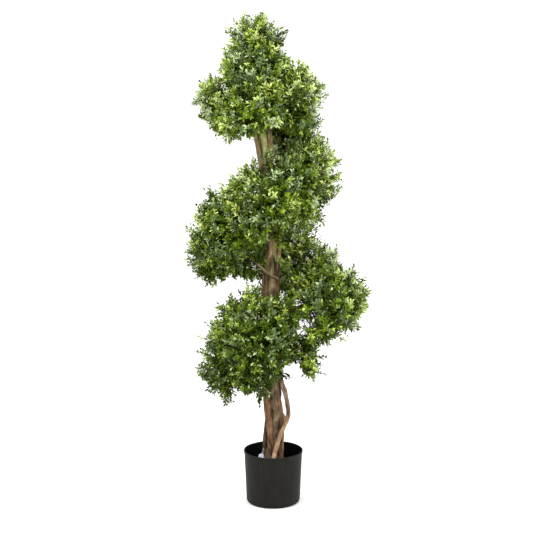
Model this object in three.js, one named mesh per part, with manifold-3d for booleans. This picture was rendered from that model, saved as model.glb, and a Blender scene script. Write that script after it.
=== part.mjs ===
// A spiral topiary: an artificial box plant in a black nursery pot.
// A bundle of natural wood stems stands in a poured filler, and masses of foliage climb round it in
// two and a half turns to a domed head.
// Millimetres, +Z up, origin at the centre of the pot's flat underside, front of the plant towards -Y.

import * as THREE from "three";
import { mergeVertices } from "three/addons/utils/BufferGeometryUtils.js";
import Module from "manifold-3d";

const wasm = await Module();
wasm.setup();

// Driving dimensions

const GAP = 0.3; // clearance between pieces that touch
const POT = {
  height: 160,
  rimRadius: 88.9,
  footRadius: 81.6,
  corner: 8, // radius of the edge round its underside
  wall: 2.4,
  floor: 3,
  lip: 1.2, // how far the rim stands out from the wall below it
  lipHeight: 8,
};
const FILL_TOP = 110;
const ROUND = 22; // facets round the pot

const STEM_SIDES = 8;
const STEM_FACET = 58; // length of one facet along a stem
const STEM_HOLD = 4; // 1 tapers evenly from foot to tip, more holds the thickness for longer
const STEM_BURIED = 20; // how far below the top of the filler a stem is drawn before it is cut level
const STEM_RIDGES = { round: 0.05, roundPitch: 55, along: 0.04, alongPitch: 23 }; // shares of the radius
const STEM_FLARE = { share: 0.25, height: 40 }; // a stem's foot is this much wider, over this height

const BOUGH_SIDES = 5;
const BOUGH_STEPS = 2;
const BOUGH_TAPER = 0.7; // radius at its end, as a share of the radius at its start
const BOUGH_REACH = 30; // how far past a mass's inner face a bough aims
const BOUGH_BEND = { at: 0.55, sag: 0.12 }; // where a bough bends, and how far down, in shares
const BOUGH_END_RISE = 0.7; // how much of the rise to its mass's middle a bough makes
// A bough that starts on the trunk's far side passes these places, measured from its start
const CROSSING = [[14, -14, -4], [-14, -32, 10], [-44, -26, 34]];

const MASS_DETAIL = 3; // subdivisions of a foliage mass
const MASS_INNER = 40; // radius round the trunk's line where the masses begin
const MASS_SQUARE = 2.6; // 2 is an ellipsoid, more is boxier
const MASS_LUMP = 0.08; // unevenness, as a share of the mass's size
const MASS_SWELLS = [4.1, 3.7, 4.6]; // waves of the broad lumps across each direction
const MASS_DIMPLES = [7.3, 6.9]; // waves of the finer lumps along two diagonals
const MASS_PHASES = [1.7, 2.9, 0.8, 1, 2.1]; // how far each wave moves on from one mass to the next
const DIMPLE_SHARE = 0.6; // height of the finer lumps beside the broad ones
const LUMP_PEAK = 1.8; // sum of the waves at which a lump stands MASS_LUMP high
const MASS_CLIMB = 0.95; // rise of the spiral in millimetres for each degree

// The line that the foliage winds round, from the filler to the head: x, y, z
const AXIS = [[-2, 0, 0], [-1, 0, 200], [-4, 0, 420], [-14, 0, 620], [-6, 0, 760], [-18, 0, 900],
  [-28, 0, 1040], [-46, 0, 1200], [-52, 0, 1450]];

// Each stem's path from the top of the filler, with its radius at the foot and at the tip
const STEMS = {
  trunk_main: {
    foot: 16.5,
    tip: 11,
    path: [[-9, 4, 110], [-2, 3, 170], [6, 2, 230], [3, 2, 310], [0, 3, 450], [-10, 1, 620],
      [-8, 0, 680], [0, 0, 750], [-4, 2, 820], [-20, 2, 940], [-29, 1, 1045], [-34, 0, 1110],
      [-44, 0, 1190], [-52, 0, 1330]],
  },
  trunk_left: {
    foot: 10,
    tip: 4.5,
    path: [[6, -17, 110], [-1, -19, 160], [-9, -17, 205], [-13, -15, 250], [-20, -12, 310], [-24, -7, 450],
      [-28, -9, 620], [-26, -10, 680], [-15, -11, 750], [-5, -16, 820], [-22, -16, 940], [-41, -14, 1045],
      [-54, -9, 1110], [-66, -7, 1160]],
  },
  trunk_right: {
    foot: 8.5,
    tip: 6.5,
    path: [[19, -5, 110], [21, -3, 160], [25, 0, 215], [25, 0, 250], [16, -5, 310], [17, 2, 450],
      [8, -4, 620], [10, -6, 680], [15, -8, 750], [13, 2, 820], [0, 1, 940], [-7, -4, 1045],
      [-10, -7, 1110], [-22, -10, 1170]],
  },
  trunk_back: {
    foot: 7.5,
    tip: 5,
    path: [[-29, 9, 110], [-25, 10, 165], [-20, 12, 225], [-12, 19, 310], [-14, 21, 430]],
  },
  runner_lower: {
    foot: 6,
    tip: 5.5,
    path: [[-4, -33, 110], [2, -34, 150], [9, -33, 182], [17, -31, 205], [25, -26, 225], [34, -19, 242],
      [44, -12, 256], [49, -9, 269]],
  },
  runner_upper: {
    foot: 5.5,
    tip: 4,
    flare: 0,
    path: [[49, -9, 269], [50, -7, 284], [47, -6, 303], [41, -9, 324], [33, -14, 346], [25, -18, 370],
      [18, -21, 440]],
  },
};

// Foliage masses, from the lowest up the spiral. Small ones have fewer facets.
// angle and sweep: degrees round the trunk, 0 to the right (+X) and 270 to the front.
// level and height: the middle and the thickness. reach: how far it stands out from the trunk's line.
// lean: how much further its top stands out than its middle. square: its own MASS_SQUARE.
const MASSES = {
  foliage_low_left: { angle: 184, sweep: 88, level: 460, height: 232, reach: 213, climb: 0.5, lean: -18 },
  foliage_low_front: { angle: 262, sweep: 86, level: 520, height: 258, reach: 228, climb: 1.4 },
  foliage_low_shoulder: { angle: 226, sweep: 66, level: 590, height: 148, reach: 176, climb: 0.6, detail: 2 },
  foliage_low_droop: { angle: 321, sweep: 36, level: 467, height: 134, reach: 186, climb: 0, detail: 2 },
  foliage_low_right: {
    angle: 353, sweep: 108, level: 630, height: 238, reach: 304, climb: 0.9, lean: -16, square: 1.95,
  },
  foliage_low_back: { angle: 425, sweep: 104, level: 736, height: 244, reach: 224, climb: 0.6 },
  foliage_mid_left: { angle: 534, sweep: 106, level: 789, height: 248, reach: 241, climb: 0.9, lean: -4 },
  foliage_mid_front: { angle: 624, sweep: 92, level: 912, height: 196, reach: 216, climb: 2.0 },
  foliage_mid_shoulder: { angle: 594, sweep: 66, level: 936, height: 164, reach: 178, climb: 0.9, detail: 2 },
  foliage_mid_right: { angle: 712, sweep: 94, level: 984, height: 244, reach: 202, climb: 0.6, lean: 10 },
  foliage_mid_back: { angle: 779, sweep: 84, level: 1078, height: 196, reach: 198, climb: 1.1, detail: 2 },
  foliage_high_left: {
    angle: 897, sweep: 94, level: 1182, height: 166, reach: 180, climb: 0.2, lean: 14, square: 2.2,
  },
  foliage_high_front: { angle: 982, sweep: 94, level: 1190, height: 176, reach: 176, climb: 0.3 },
  foliage_high_right: { angle: 1071, sweep: 94, level: 1204, height: 190, reach: 184, climb: 0.4, lean: -6 },
  foliage_high_back: { angle: 1158, sweep: 92, level: 1246, height: 160, reach: 166, climb: 0.5, detail: 2 },
};

// The dome of the head, on the tip of the main stem. narrowing: share of the radius lost at its top.
// lean: how far its top stands to the right of its middle.
const DOME = { centre: [-57, 0, 1324], radius: 106, halfHeight: 119, narrowing: 0.5, lean: 15, seed: 5 };

// Boughs: the mass that each carries, the stem that it grows from, how far below the mass's middle it
// starts, and its radius there
const BOUGHS = {
  bough_low_left: { mass: "foliage_low_left", stem: "trunk_left", rise: 45, radius: 6 },
  bough_low_front: { mass: "foliage_low_front", stem: "trunk_main", rise: 40, radius: 6 },
  bough_low_shoulder: { mass: "foliage_low_shoulder", stem: "trunk_left", rise: 40, radius: 4.5 },
  bough_low_droop: { mass: "foliage_low_droop", stem: "trunk_right", rise: -20, radius: 4.5 },
  bough_low_right: { mass: "foliage_low_right", stem: "trunk_right", rise: 55, radius: 6.5 },
  bough_low_back: { mass: "foliage_low_back", stem: "trunk_main", rise: 45, radius: 6 },
  bough_mid_left: { mass: "foliage_mid_left", stem: "trunk_main", rise: 98, radius: 5.5, crosses: true },
  bough_mid_front: { mass: "foliage_mid_front", stem: "trunk_left", rise: 40, radius: 5.5 },
  bough_mid_shoulder: { mass: "foliage_mid_shoulder", stem: "trunk_left", rise: 35, radius: 4.5 },
  bough_mid_right: { mass: "foliage_mid_right", stem: "trunk_right", rise: 45, radius: 5.5 },
  bough_mid_back: { mass: "foliage_mid_back", stem: "trunk_main", rise: 40, radius: 5 },
  bough_high_left: { mass: "foliage_high_left", stem: "trunk_left", rise: 55, radius: 4.5 },
  bough_high_front: { mass: "foliage_high_front", stem: "trunk_main", rise: 48, radius: 4.5 },
  bough_high_right: { mass: "foliage_high_right", stem: "trunk_main", rise: 45, radius: 4.5 },
  bough_high_back: { mass: "foliage_high_back", stem: "trunk_main", rise: 40, radius: 4.5 },
};

// The scrap of packing film left against the trunk's left side
const FILM_SCRAP = {
  x: -35,
  y: -21,
  halfWidth: 9,
  halfDepth: 6,
  halfHeight: 30,
  sunk: 0.1, // share of its half height that is cut off level with the filler
  lean: 5, // how far its top stands to the right of its middle
  seed: 9,
};

// Curves

const curveThrough = (points) => new THREE.CatmullRomCurve3(points.map((p) => new THREE.Vector3(...p)));
const axisCurve = curveThrough(AXIS);

// The point of a curve that climbs all the way, at a given height
function pointAtLevel(curve, level) {
  let low = 0;
  let high = 1;
  for (let halving = 0; halving < 30; halving += 1) {
    const middle = (low + high) / 2;
    if (curve.getPoint(middle).z < level) low = middle;
    else high = middle;
  }
  return curve.getPoint(low);
}

// Solids and meshes

function solidOf(geometry) {
  const bare = geometry.clone();
  bare.deleteAttribute("normal");
  bare.deleteAttribute("uv");
  const merged = mergeVertices(bare, 1e-3);
  return new wasm.Manifold(
    new wasm.Mesh({
      numProp: 3,
      vertProperties: new Float32Array(merged.attributes.position.array),
      triVerts: new Uint32Array(merged.index.array),
    }),
  );
}

function geometryOf(solid) {
  const { vertProperties, triVerts } = solid.getMesh();
  const geometry = new THREE.BufferGeometry();
  geometry.setAttribute("position", new THREE.BufferAttribute(vertProperties, 3));
  geometry.setIndex(new THREE.BufferAttribute(triVerts, 1));
  geometry.computeVertexNormals();
  return geometry;
}

const cutBy = (solid, others) => others.reduce((left, other) => left.subtract(other), solid);

// A cylinder bent along a curve, with its radius from radiusAt(share of the length, angle round it)
function limbSolid(curve, radiusAt, sides, steps) {
  const { normals, binormals } = curve.computeFrenetFrames(steps);
  const geometry = new THREE.CylinderGeometry(1, 1, 1, sides, steps);
  const positions = geometry.attributes.position;
  for (let i = 0; i < positions.count; i += 1) {
    const [x, y, z] = [positions.getX(i), positions.getY(i), positions.getZ(i)];
    const step = Math.round((y + 0.5) * steps);
    const radius = radiusAt(step / steps, Math.atan2(z, x));
    const point = curve
      .getPointAt(step / steps)
      .addScaledVector(binormals[step], radius * x)
      .addScaledVector(normals[step], radius * z);
    positions.setXYZ(i, ...point);
  }
  return solidOf(geometry);
}

// Pot and filler

const potRadiusAt = (z) => POT.footRadius + ((POT.rimRadius - POT.footRadius) * z) / POT.height;
const boreRadiusAt = (z) => potRadiusAt(z) - POT.wall - POT.lip;

function potGeometry() {
  const { height, corner, wall, floor, lip, lipHeight } = POT;
  const outline = new THREE.Path();
  outline.moveTo(0, 0);
  outline.lineTo(potRadiusAt(0) - corner, 0);
  outline.quadraticCurveTo(potRadiusAt(0) - lip, 0, potRadiusAt(corner) - lip, corner);
  outline.lineTo(potRadiusAt(height - lipHeight) - lip, height - lipHeight);
  outline.lineTo(potRadiusAt(height), height - lipHeight + lip);
  outline.lineTo(potRadiusAt(height), height);
  outline.lineTo(potRadiusAt(height) - wall, height);
  outline.lineTo(boreRadiusAt(floor + corner), floor + corner);
  outline.lineTo(boreRadiusAt(floor) - corner, floor);
  outline.lineTo(0, floor);
  return new THREE.LatheGeometry(outline.getPoints(4), ROUND).rotateX(Math.PI / 2);
}

function fillerGeometry() {
  const foot = POT.floor + POT.corner;
  const radiusAt = (z) =>
    THREE.MathUtils.mapLinear(z, foot, POT.height, boreRadiusAt(foot), POT.rimRadius - POT.wall) - 2 * GAP;
  const outline = [
    new THREE.Vector2(0, POT.floor),
    new THREE.Vector2(boreRadiusAt(POT.floor) - POT.corner - 2 * GAP, POT.floor),
    new THREE.Vector2(radiusAt(foot), foot),
    new THREE.Vector2(radiusAt(FILL_TOP), FILL_TOP),
    new THREE.Vector2(0, FILL_TOP),
  ];
  return new THREE.LatheGeometry(outline, ROUND).rotateX(Math.PI / 2);
}

// Trunk

const underground = solidOf(new THREE.BoxGeometry(400, 400, 200).translate(0, 0, FILL_TOP - 100));

// A stem follows its path from a little way down in the filler, and is cut off level with its top
function stemSolid(stem, grow = 0) {
  const [foot, above] = stem.path;
  const below = foot.map((value, i) => value - ((above[i] - value) * STEM_BURIED) / (above[2] - foot[2]));
  const rooted = foot[2] === FILL_TOP;
  const curve = curveThrough(rooted ? [below, ...stem.path] : stem.path);
  const length = curve.getLength();
  const radiusAt = (share, angle) => {
    const height = Math.max(0, curve.getPointAt(share).z - FILL_TOP);
    const flare = 1 + (stem.flare ?? STEM_FLARE.share) * Math.exp(-height / STEM_FLARE.height);
    const along = share * length;
    const ridge =
      STEM_RIDGES.round * Math.sin(2 * angle + along / STEM_RIDGES.roundPitch) +
      STEM_RIDGES.along * Math.sin(along / STEM_RIDGES.alongPitch);
    return THREE.MathUtils.lerp(stem.foot, stem.tip, share ** STEM_HOLD) * flare * (1 + ridge) + grow;
  };
  const whole = limbSolid(curve, radiusAt, STEM_SIDES, Math.round(length / STEM_FACET));
  return rooted ? whole.subtract(underground) : whole;
}

// Foliage

// A point on a rounded box of half-size 1, pushed in and out in broad lumps
function lumpyPoint({ x, y, z }, seed, square = MASS_SQUARE) {
  const power = (value) => Math.abs(value) ** square;
  const size = (power(x) + power(y) + power(z)) ** (1 / square);
  const swells =
    Math.sin(MASS_SWELLS[0] * x + MASS_PHASES[0] * seed) +
    Math.sin(MASS_SWELLS[1] * y + MASS_PHASES[1] * seed) +
    Math.sin(MASS_SWELLS[2] * z + MASS_PHASES[2] * seed);
  const dimples =
    Math.sin(MASS_DIMPLES[0] * (x - y) + MASS_PHASES[3] * seed) +
    Math.sin(MASS_DIMPLES[1] * (y + z) + MASS_PHASES[4] * seed);
  const lumps = swells + DIMPLE_SHARE * dimples;
  return new THREE.Vector3(x, y, z).multiplyScalar((1 + (MASS_LUMP * lumps) / LUMP_PEAK) / size);
}

function shapedSolid(detail, place) {
  const geometry = new THREE.IcosahedronGeometry(1, detail);
  const positions = geometry.attributes.position;
  for (let i = 0; i < positions.count; i += 1) {
    const direction = new THREE.Vector3().fromBufferAttribute(positions, i).normalize();
    positions.setXYZ(i, ...place(direction));
  }
  return solidOf(geometry);
}

// A mass wraps round the trunk: x runs outwards, y along the spiral and z upwards
function massSolid(mass, seed, grow = 0) {
  const middle = pointAtLevel(axisCurve, mass.level);
  const halfDepth = (mass.reach - MASS_INNER) / 2;
  const halfSweep = mass.sweep / 2 + THREE.MathUtils.radToDeg(grow / MASS_INNER);
  return shapedSolid(mass.detail ?? MASS_DETAIL, (direction) => {
    const p = lumpyPoint(direction, seed, mass.square);
    const along = p.y * halfSweep;
    const lean = ((mass.lean ?? 0) * p.z * (1 + p.x)) / 2;
    const out = MASS_INNER + halfDepth + p.x * (halfDepth + grow) + lean;
    const angle = THREE.MathUtils.degToRad(mass.angle + along);
    const level = mass.level + along * (mass.climb ?? MASS_CLIMB) + p.z * (mass.height / 2 + grow);
    return [middle.x + out * Math.cos(angle), middle.y + out * Math.sin(angle), level];
  });
}

function domeSolid(grow = 0) {
  return shapedSolid(MASS_DETAIL, (direction) => {
    const p = lumpyPoint(direction, DOME.seed);
    const radius = DOME.radius * (1 - DOME.narrowing * Math.max(0, p.z)) + grow;
    return [
      DOME.centre[0] + p.x * radius + p.z * DOME.lean,
      DOME.centre[1] + p.y * radius,
      DOME.centre[2] + p.z * (DOME.halfHeight + grow),
    ];
  });
}

// Boughs

// A bough leaves the middle of its stem and bends up into its mass. One crosses the trunk's front first.
function boughCurve(bough) {
  const mass = MASSES[bough.mass];
  const start = pointAtLevel(curveThrough(STEMS[bough.stem].path), mass.level - bough.rise);
  const angle = THREE.MathUtils.degToRad(mass.angle);
  const outward = new THREE.Vector3(Math.cos(angle), Math.sin(angle), 0);
  const end = pointAtLevel(axisCurve, mass.level).addScaledVector(outward, MASS_INNER + BOUGH_REACH);
  end.z = mass.level - (1 - BOUGH_END_RISE) * bough.rise;
  if (bough.crosses) {
    const crossing = CROSSING.map((place) => start.clone().add(new THREE.Vector3(...place)));
    return new THREE.CatmullRomCurve3([...crossing, end]);
  }
  const bend = start.clone().lerp(end, BOUGH_BEND.at);
  bend.z -= BOUGH_BEND.sag * bough.rise;
  return new THREE.CatmullRomCurve3([start, bend, end]);
}

function boughSolid(bough) {
  const radiusAt = (share) => bough.radius * THREE.MathUtils.lerp(1, BOUGH_TAPER, share);
  return limbSolid(boughCurve(bough), radiusAt, BOUGH_SIDES, BOUGH_STEPS);
}

// A crumpled scrap of packing film stands on the filler against the trunk's left side
function filmSolid() {
  return shapedSolid(1, (direction) => {
    const p = lumpyPoint(direction, FILM_SCRAP.seed);
    const x = FILM_SCRAP.x + p.x * FILM_SCRAP.halfWidth + p.z * FILM_SCRAP.lean;
    const y = FILM_SCRAP.y + p.y * FILM_SCRAP.halfDepth;
    return [x, y, FILL_TOP + (p.z + 1 - FILM_SCRAP.sunk) * FILM_SCRAP.halfHeight];
  }).subtract(underground);
}

// Materials

const material = (color, roughness) => new THREE.MeshStandardMaterial({ color, roughness, metalness: 0 });
const BLACK_PLASTIC = material(0x2a2a27, 0.6);
const FILLER = material(0x3c3a36, 0.95);
const GREY_BARK = material(0x7d6a51, 0.9);
const BROWN_BARK = material(0x80603f, 0.85);
const LEAVES = material(0x567a2c, 0.5);
const FILM = material(0xc9ccd2, 0.3);

// Assembly

const topiary = new THREE.Group();

function add(name, geometry, look) {
  const mesh = new THREE.Mesh(geometry, look);
  mesh.name = name;
  topiary.add(mesh);
}

add("pot", potGeometry(), BLACK_PLASTIC);
add("filler", fillerGeometry(), FILLER);

// Each stem is cut clear of those before it, so that they lie against each other
const stemClearances = [];
for (const [name, stem] of Object.entries(STEMS)) {
  const look = name === "trunk_main" ? GREY_BARK : BROWN_BARK;
  add(name, geometryOf(cutBy(stemSolid(stem), stemClearances)), look);
  stemClearances.push(stemSolid(stem, GAP));
}

// The masses are cut round the trunk, and each is cut clear of those before it
const massClearances = [domeSolid(GAP)];
add("foliage_dome", geometryOf(cutBy(domeSolid(), stemClearances)), LEAVES);
Object.entries(MASSES).forEach(([name, mass], seed) => {
  const shape = cutBy(massSolid(mass, seed), [...stemClearances, ...massClearances]);
  add(name, geometryOf(shape), LEAVES);
  massClearances.push(massSolid(mass, seed, GAP));
});

// A bough runs from its stem to its mass, and ends at the mass's face
for (const [name, bough] of Object.entries(BOUGHS)) {
  const shape = cutBy(boughSolid(bough), [...stemClearances, ...massClearances]);
  add(name, geometryOf(shape), BROWN_BARK);
}

add("packing_film", geometryOf(cutBy(filmSolid(), stemClearances)), FILM);

export default topiary;
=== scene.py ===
"""The looks of a potted artificial spiral topiary: bark, limbs, twigs, leaves, pot, filler and packing film.

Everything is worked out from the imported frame, in metres, with +Z up and the plant's front towards -Y.
"""

import math

import bpy
import numpy as np
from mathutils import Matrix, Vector
from mathutils.bvhtree import BVHTree


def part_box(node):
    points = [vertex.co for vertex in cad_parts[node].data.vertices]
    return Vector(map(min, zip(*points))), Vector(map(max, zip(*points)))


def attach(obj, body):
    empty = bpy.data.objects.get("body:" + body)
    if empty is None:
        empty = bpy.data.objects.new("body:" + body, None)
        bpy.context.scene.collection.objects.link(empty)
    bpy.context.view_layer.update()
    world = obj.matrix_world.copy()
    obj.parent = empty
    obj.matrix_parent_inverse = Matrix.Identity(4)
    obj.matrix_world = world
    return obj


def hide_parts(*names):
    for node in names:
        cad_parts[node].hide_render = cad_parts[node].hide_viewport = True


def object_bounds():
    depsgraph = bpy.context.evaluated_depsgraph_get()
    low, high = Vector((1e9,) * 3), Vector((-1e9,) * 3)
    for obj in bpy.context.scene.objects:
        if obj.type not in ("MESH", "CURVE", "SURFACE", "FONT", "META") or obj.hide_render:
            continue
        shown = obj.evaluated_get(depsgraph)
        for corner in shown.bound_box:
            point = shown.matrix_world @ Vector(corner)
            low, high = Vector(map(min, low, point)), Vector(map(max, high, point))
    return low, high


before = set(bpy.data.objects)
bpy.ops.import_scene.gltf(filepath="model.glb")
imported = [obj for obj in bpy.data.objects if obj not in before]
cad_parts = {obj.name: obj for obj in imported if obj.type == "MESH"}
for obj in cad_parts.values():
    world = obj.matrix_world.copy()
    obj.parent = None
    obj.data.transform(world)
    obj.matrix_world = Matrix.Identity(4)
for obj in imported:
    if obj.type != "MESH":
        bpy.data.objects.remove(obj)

cad_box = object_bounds()
MM = 0.001
UP = np.array([0.0, 0.0, 1.0])

# ---------------------------------------------------------------- sizes

# Leaves: artificial box, at life size
LEAF_LENGTH = (11.5 * MM, 17.0 * MM)
LEAF_SLIMNESS = (0.35, 0.48)  # width as a share of the length
LEAF_SHRINK = 0.18  # at the sprig's tip
SPRIG_SCALE = (0.88, 0.24)  # of a sprig's leaves: the least, and how much more the most is
LEAF_ANGLE = 58  # degrees from the sprig, at its foot
ANGLE_ALONG, ANGLE_AT_TIP = 10, 14  # less along the sprig, and less again at its tip
ANGLE_SPREAD = 11
LEAVES_MISSING = 0.05
PAIR_GAP = 5.2 * MM  # between two pairs of leaves along a sprig
LEAST_PAIRS = 3
FIRST_LEAF = 0.22  # share of a sprig's length from which it has leaves

# Sprigs, by how deep they sit in a mass
OUTER_SPACING = 13.6 * MM
OUTER_LENGTH = (34 * MM, 52 * MM)
INNER_SPACING = 18.5 * MM
INNER_LENGTH = (30 * MM, 44 * MM)
INNER_DEPTH = (24 * MM, 60 * MM)
COVERED_REACH = 16 * MM  # a sprig with another mass this near in front of it is covered
NOTCH_REACH = 34 * MM  # a covered sprig with open air this far outwards fills the notch between two masses
NOTCH_OFFSET = (-16 * MM, 3 * MM)
COVERED_KEPT = 0.35
TRUNK_CLEARANCE = 9 * MM
# What a sprig's direction is made of: the way out from its bunch's root, the mass's normal, up, and chance
FAN_SHARE, NORMAL_SHARE, UP_SHARE, LOOSENESS = 0.75, 0.25, 0.34, 0.20
LEAST_OUTWARDS = 0.35  # cosine to the normal under which a sprig is turned outwards
INNER_NORMAL_SHARE, INNER_LOOSENESS = 0.7, 0.5
# Lift in tone of the inner sprigs, which lightens their painted shade a little
INNER_LIFT = 0.4

# Outer sprigs fan out in bunches
BUNCH_SIZE = 6
BUNCH_DEPTH = 46 * MM  # of the point that a bunch fans out from
BUNCH_RADIUS = 21 * MM
BUNCH_LEVEL = (-21 * MM, -6 * MM)  # of a bunch's edge from the mass's surface
BUNCH_DOME = 8 * MM  # how much further the middle of a bunch stands out
BUNCH_PULL = 0.16  # how far its sprigs are drawn to its middle
PROUD_SHARE = 0.14  # bunches that stand out further
PROUD_LEVEL = (-4 * MM, 9 * MM)
TIP_OFFSET = (-5 * MM, 5 * MM)  # of single sprigs from their bunch
STRAY_SHARE = 0.07
STRAY_OFFSET = (5 * MM, 16 * MM)
OVERHANG = 6 * MM  # furthest that a sprig's tip goes past the whole plant's box
HIDDEN_OFFSET = -16 * MM  # of covered sprigs

# Single tufts that stand clear of a mass: where the tuft's middle is in shares of the mass's box, and the
# way that it points
TUFT_SPRIGS = 5
TUFT_DEPTH = 54 * MM
TUFT_SPREAD = 7.5 * MM
TUFT_LEAF = 6 * MM  # how far the last leaves stand beyond a sprig's tip
TUFT_LIFT = (-0.2, 0.6)  # how much fresher a tuft is, in steps from one tone to the next
TUFTS = {
    "dome": (((0.17, 0.50, 0.77), (-0.9, -0.1, 0.35)), ((0.29, 0.40, 0.88), (-0.6, -0.2, 0.8)),
        ((0.38, 0.40, 0.93), (-0.4, -0.2, 0.9)), ((0.64, 0.45, 0.94), (0.1, -0.1, 1.0)),
        ((0.88, 0.45, 0.78), (0.8, -0.1, 0.5)), ((0.86, 0.45, 0.70), (1.0, -0.1, 0.2))),
    "high_right": (((0.55, 0.49, 1.00), (0.2, -0.1, 1.0)), ((0.62, 0.49, 0.95), (0.3, -0.1, 1.0)),
        ((1.04, 0.49, 0.66), (1.0, -0.2, 0.1))),
    "high_left": (((0.00, 0.50, 0.61), (-1.0, -0.1, 0.1)), ((0.10, 0.50, 0.92), (-0.6, -0.1, 0.8)),
        ((0.25, 0.50, 0.99), (-0.2, -0.1, 1.0)), ((0.44, 0.28, 0.08), (-0.3, -0.2, -0.9)),
        ((0.70, 0.28, -0.06), (-0.1, -0.2, -1.0))),
    "high_front": (((0.18, 0.46, 0.08), (-0.1, -0.3, -0.9)),),
    "mid_right": (((0.62, 0.49, 0.97), (0.6, -0.1, 0.7)), ((0.99, 0.49, 0.47), (1.0, -0.1, 0.1)),
        ((1.02, 0.49, 0.36), (1.0, -0.2, 0.1)), ((0.89, 0.49, 0.27), (1.0, -0.2, -0.1)),
        ((0.56, 0.58, 0.06), (0.8, -0.2, -0.6)), ((0.72, 0.49, 0.02), (0.6, -0.2, -0.7)),
        ((0.08, 0.42, -0.10), (-0.3, -0.2, -1.0)), ((0.15, 0.40, -0.02), (0.1, -0.3, -1.0)),
        ((-0.02, 0.38, -0.14), (-0.1, -0.2, -1.0)), ((0.03, 0.36, -0.24), (-0.1, -0.2, -1.0))),
    "mid_front": (((0.56, 0.84, 1.01), (0.1, -0.2, 1.0)), ((0.61, 0.84, 1.07), (0.1, -0.2, 1.0))),
    "mid_shoulder": (((0.77, 0.72, 1.03), (0.1, -0.2, 1.0)), ((0.60, 0.72, 0.92), (-0.2, -0.2, 1.0))),
    "mid_left": (((0.28, 0.35, 1.02), (-0.5, -0.2, 0.8)), ((0.38, 0.35, 1.00), (-0.2, -0.2, 1.0)),
        ((0.04, 0.42, 0.50), (-1.0, -0.1, 0.0)), ((0.04, 0.38, 0.40), (-1.0, -0.2, 0.0)),
        ((0.17, 0.32, 0.15), (-0.7, -0.2, -0.7)), ((0.30, 0.32, 0.08), (-0.2, -0.2, -0.9)),
        ((0.38, 0.32, 0.12), (0.0, -0.2, -1.0)), ((0.86, 0.33, 0.17), (-0.1, -0.2, -1.0)),
        ((0.93, 0.35, 0.14), (0.1, -0.2, -1.0)), ((0.99, 0.33, 0.12), (0.1, -0.2, -1.0)),
        ((1.05, 0.26, 0.32), (0.1, -0.2, -1.0)), ((1.04, 0.26, 0.46), (0.1, -0.2, -1.0))),
    "low_shoulder": (((0.07, 0.75, 0.62), (-0.7, -0.2, 0.6)), ((0.84, 0.75, 1.00), (0.0, -0.2, 1.0)),
        ((0.72, 0.75, 0.90), (-0.2, -0.3, 1.0))),
    "low_left": (((0.05, 0.45, 0.24), (-1.0, -0.2, 0.0)), ((0.42, 0.28, 0.04), (-0.05, -0.1, -1.0)),
        ((0.46, 0.28, -0.09), (-0.05, -0.1, -1.0)), ((0.99, 0.30, -0.04), (0.15, -0.1, -1.0))),
    "low_front": (((0.74, 0.93, 0.09), (0.5, -0.2, -0.7)), ((0.66, 0.85, 0.09), (0.0, -0.3, -1.0)),
        ((0.57, 0.85, 0.06), (0.0, -0.3, -1.0)), ((0.50, 0.85, 0.04), (0.0, -0.3, -1.0))),
    "low_right": (((0.02, 0.42, 0.94), (-0.4, -0.3, 0.9)), ((0.63, 0.50, 0.96), (0.7, -0.1, 0.6)),
        ((0.96, 0.50, 0.57), (1.0, -0.1, 0.1))),
    "low_droop": (((0.66, 0.51, 0.00), (0.2, -0.2, -1.0)),),
}

# Thin places, where an edge is drawn in or the foliage is open. Each runs from front to back, falling a
# little: its place across and up in shares of the mass's box, and its radius in mm
FALL = 0.19
THIN_PLACES = {
    "dome": ((0.53, 0.99, 16), (0.12, 0.65, 17), (0.03, 0.44, 15), (0.08, 0.29, 10)),
    "high_right": ((0.82, 0.90, 16), (0.89, 0.84, 15), (1.00, 0.76, 12), (1.05, 0.43, 12),
        (1.00, 0.27, 20)),
    "high_left": ((0.00, 0.80, 15), (-0.02, 0.44, 17), (0.18, 0.13, 24)),
    "high_front": ((0.39, -0.02, 9),),
    "mid_shoulder": ((0.36, 0.79, 14), (0.14, 0.65, 13)),
    "mid_right": ((0.90, 0.83, 14), (0.97, 0.58, 13)),
    "mid_front": ((0.62, 0.19, 15),),
    "mid_left": ((0.05, 0.81, 16), (0.04, 0.68, 17), (0.68, 0.09, 30)),
    "low_back": ((0.78, 0.78, 15), (0.66, 0.80, 10), (0.86, 0.75, 14), (0.93, 0.69, 11)),
    "low_right": ((0.75, 0.90, 34), (0.86, 0.81, 13), (0.70, 0.00, 30), (0.60, -0.04, 18),
        (0.45, -0.20, 24), (0.95, 0.25, 16), (0.87, 0.17, 15)),
    "low_left": ((0.06, 0.76, 18), (0.06, 0.60, 16), (0.00, 0.43, 15), (0.04, -0.02, 13),
        (0.20, -0.03, 18), (0.70, -0.01, 20)),
    "low_droop": ((0.28, 0.04, 31), (0.94, 0.12, 15), (0.86, 0.40, 15)),
}
THIN_DROPPED = 0.92  # sprigs that are missing there
THIN_REACH = 0.4  # a sprig is also in a thin place if this share of its length back from the tip is
# Smaller ones where the sky shows and single leaves are missing too
SKY_HOLES = {
    "low_right": ((0.20, 0.39, 14), (0.34, 0.28, 13), (0.23, 0.18, 14), (0.31, 0.17, 13),
        (0.70, 0.88, 14)),
    "low_droop": ((0.33, 0.02, 19),),
    "mid_left": ((0.60, 0.10, 16),),
}
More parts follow.
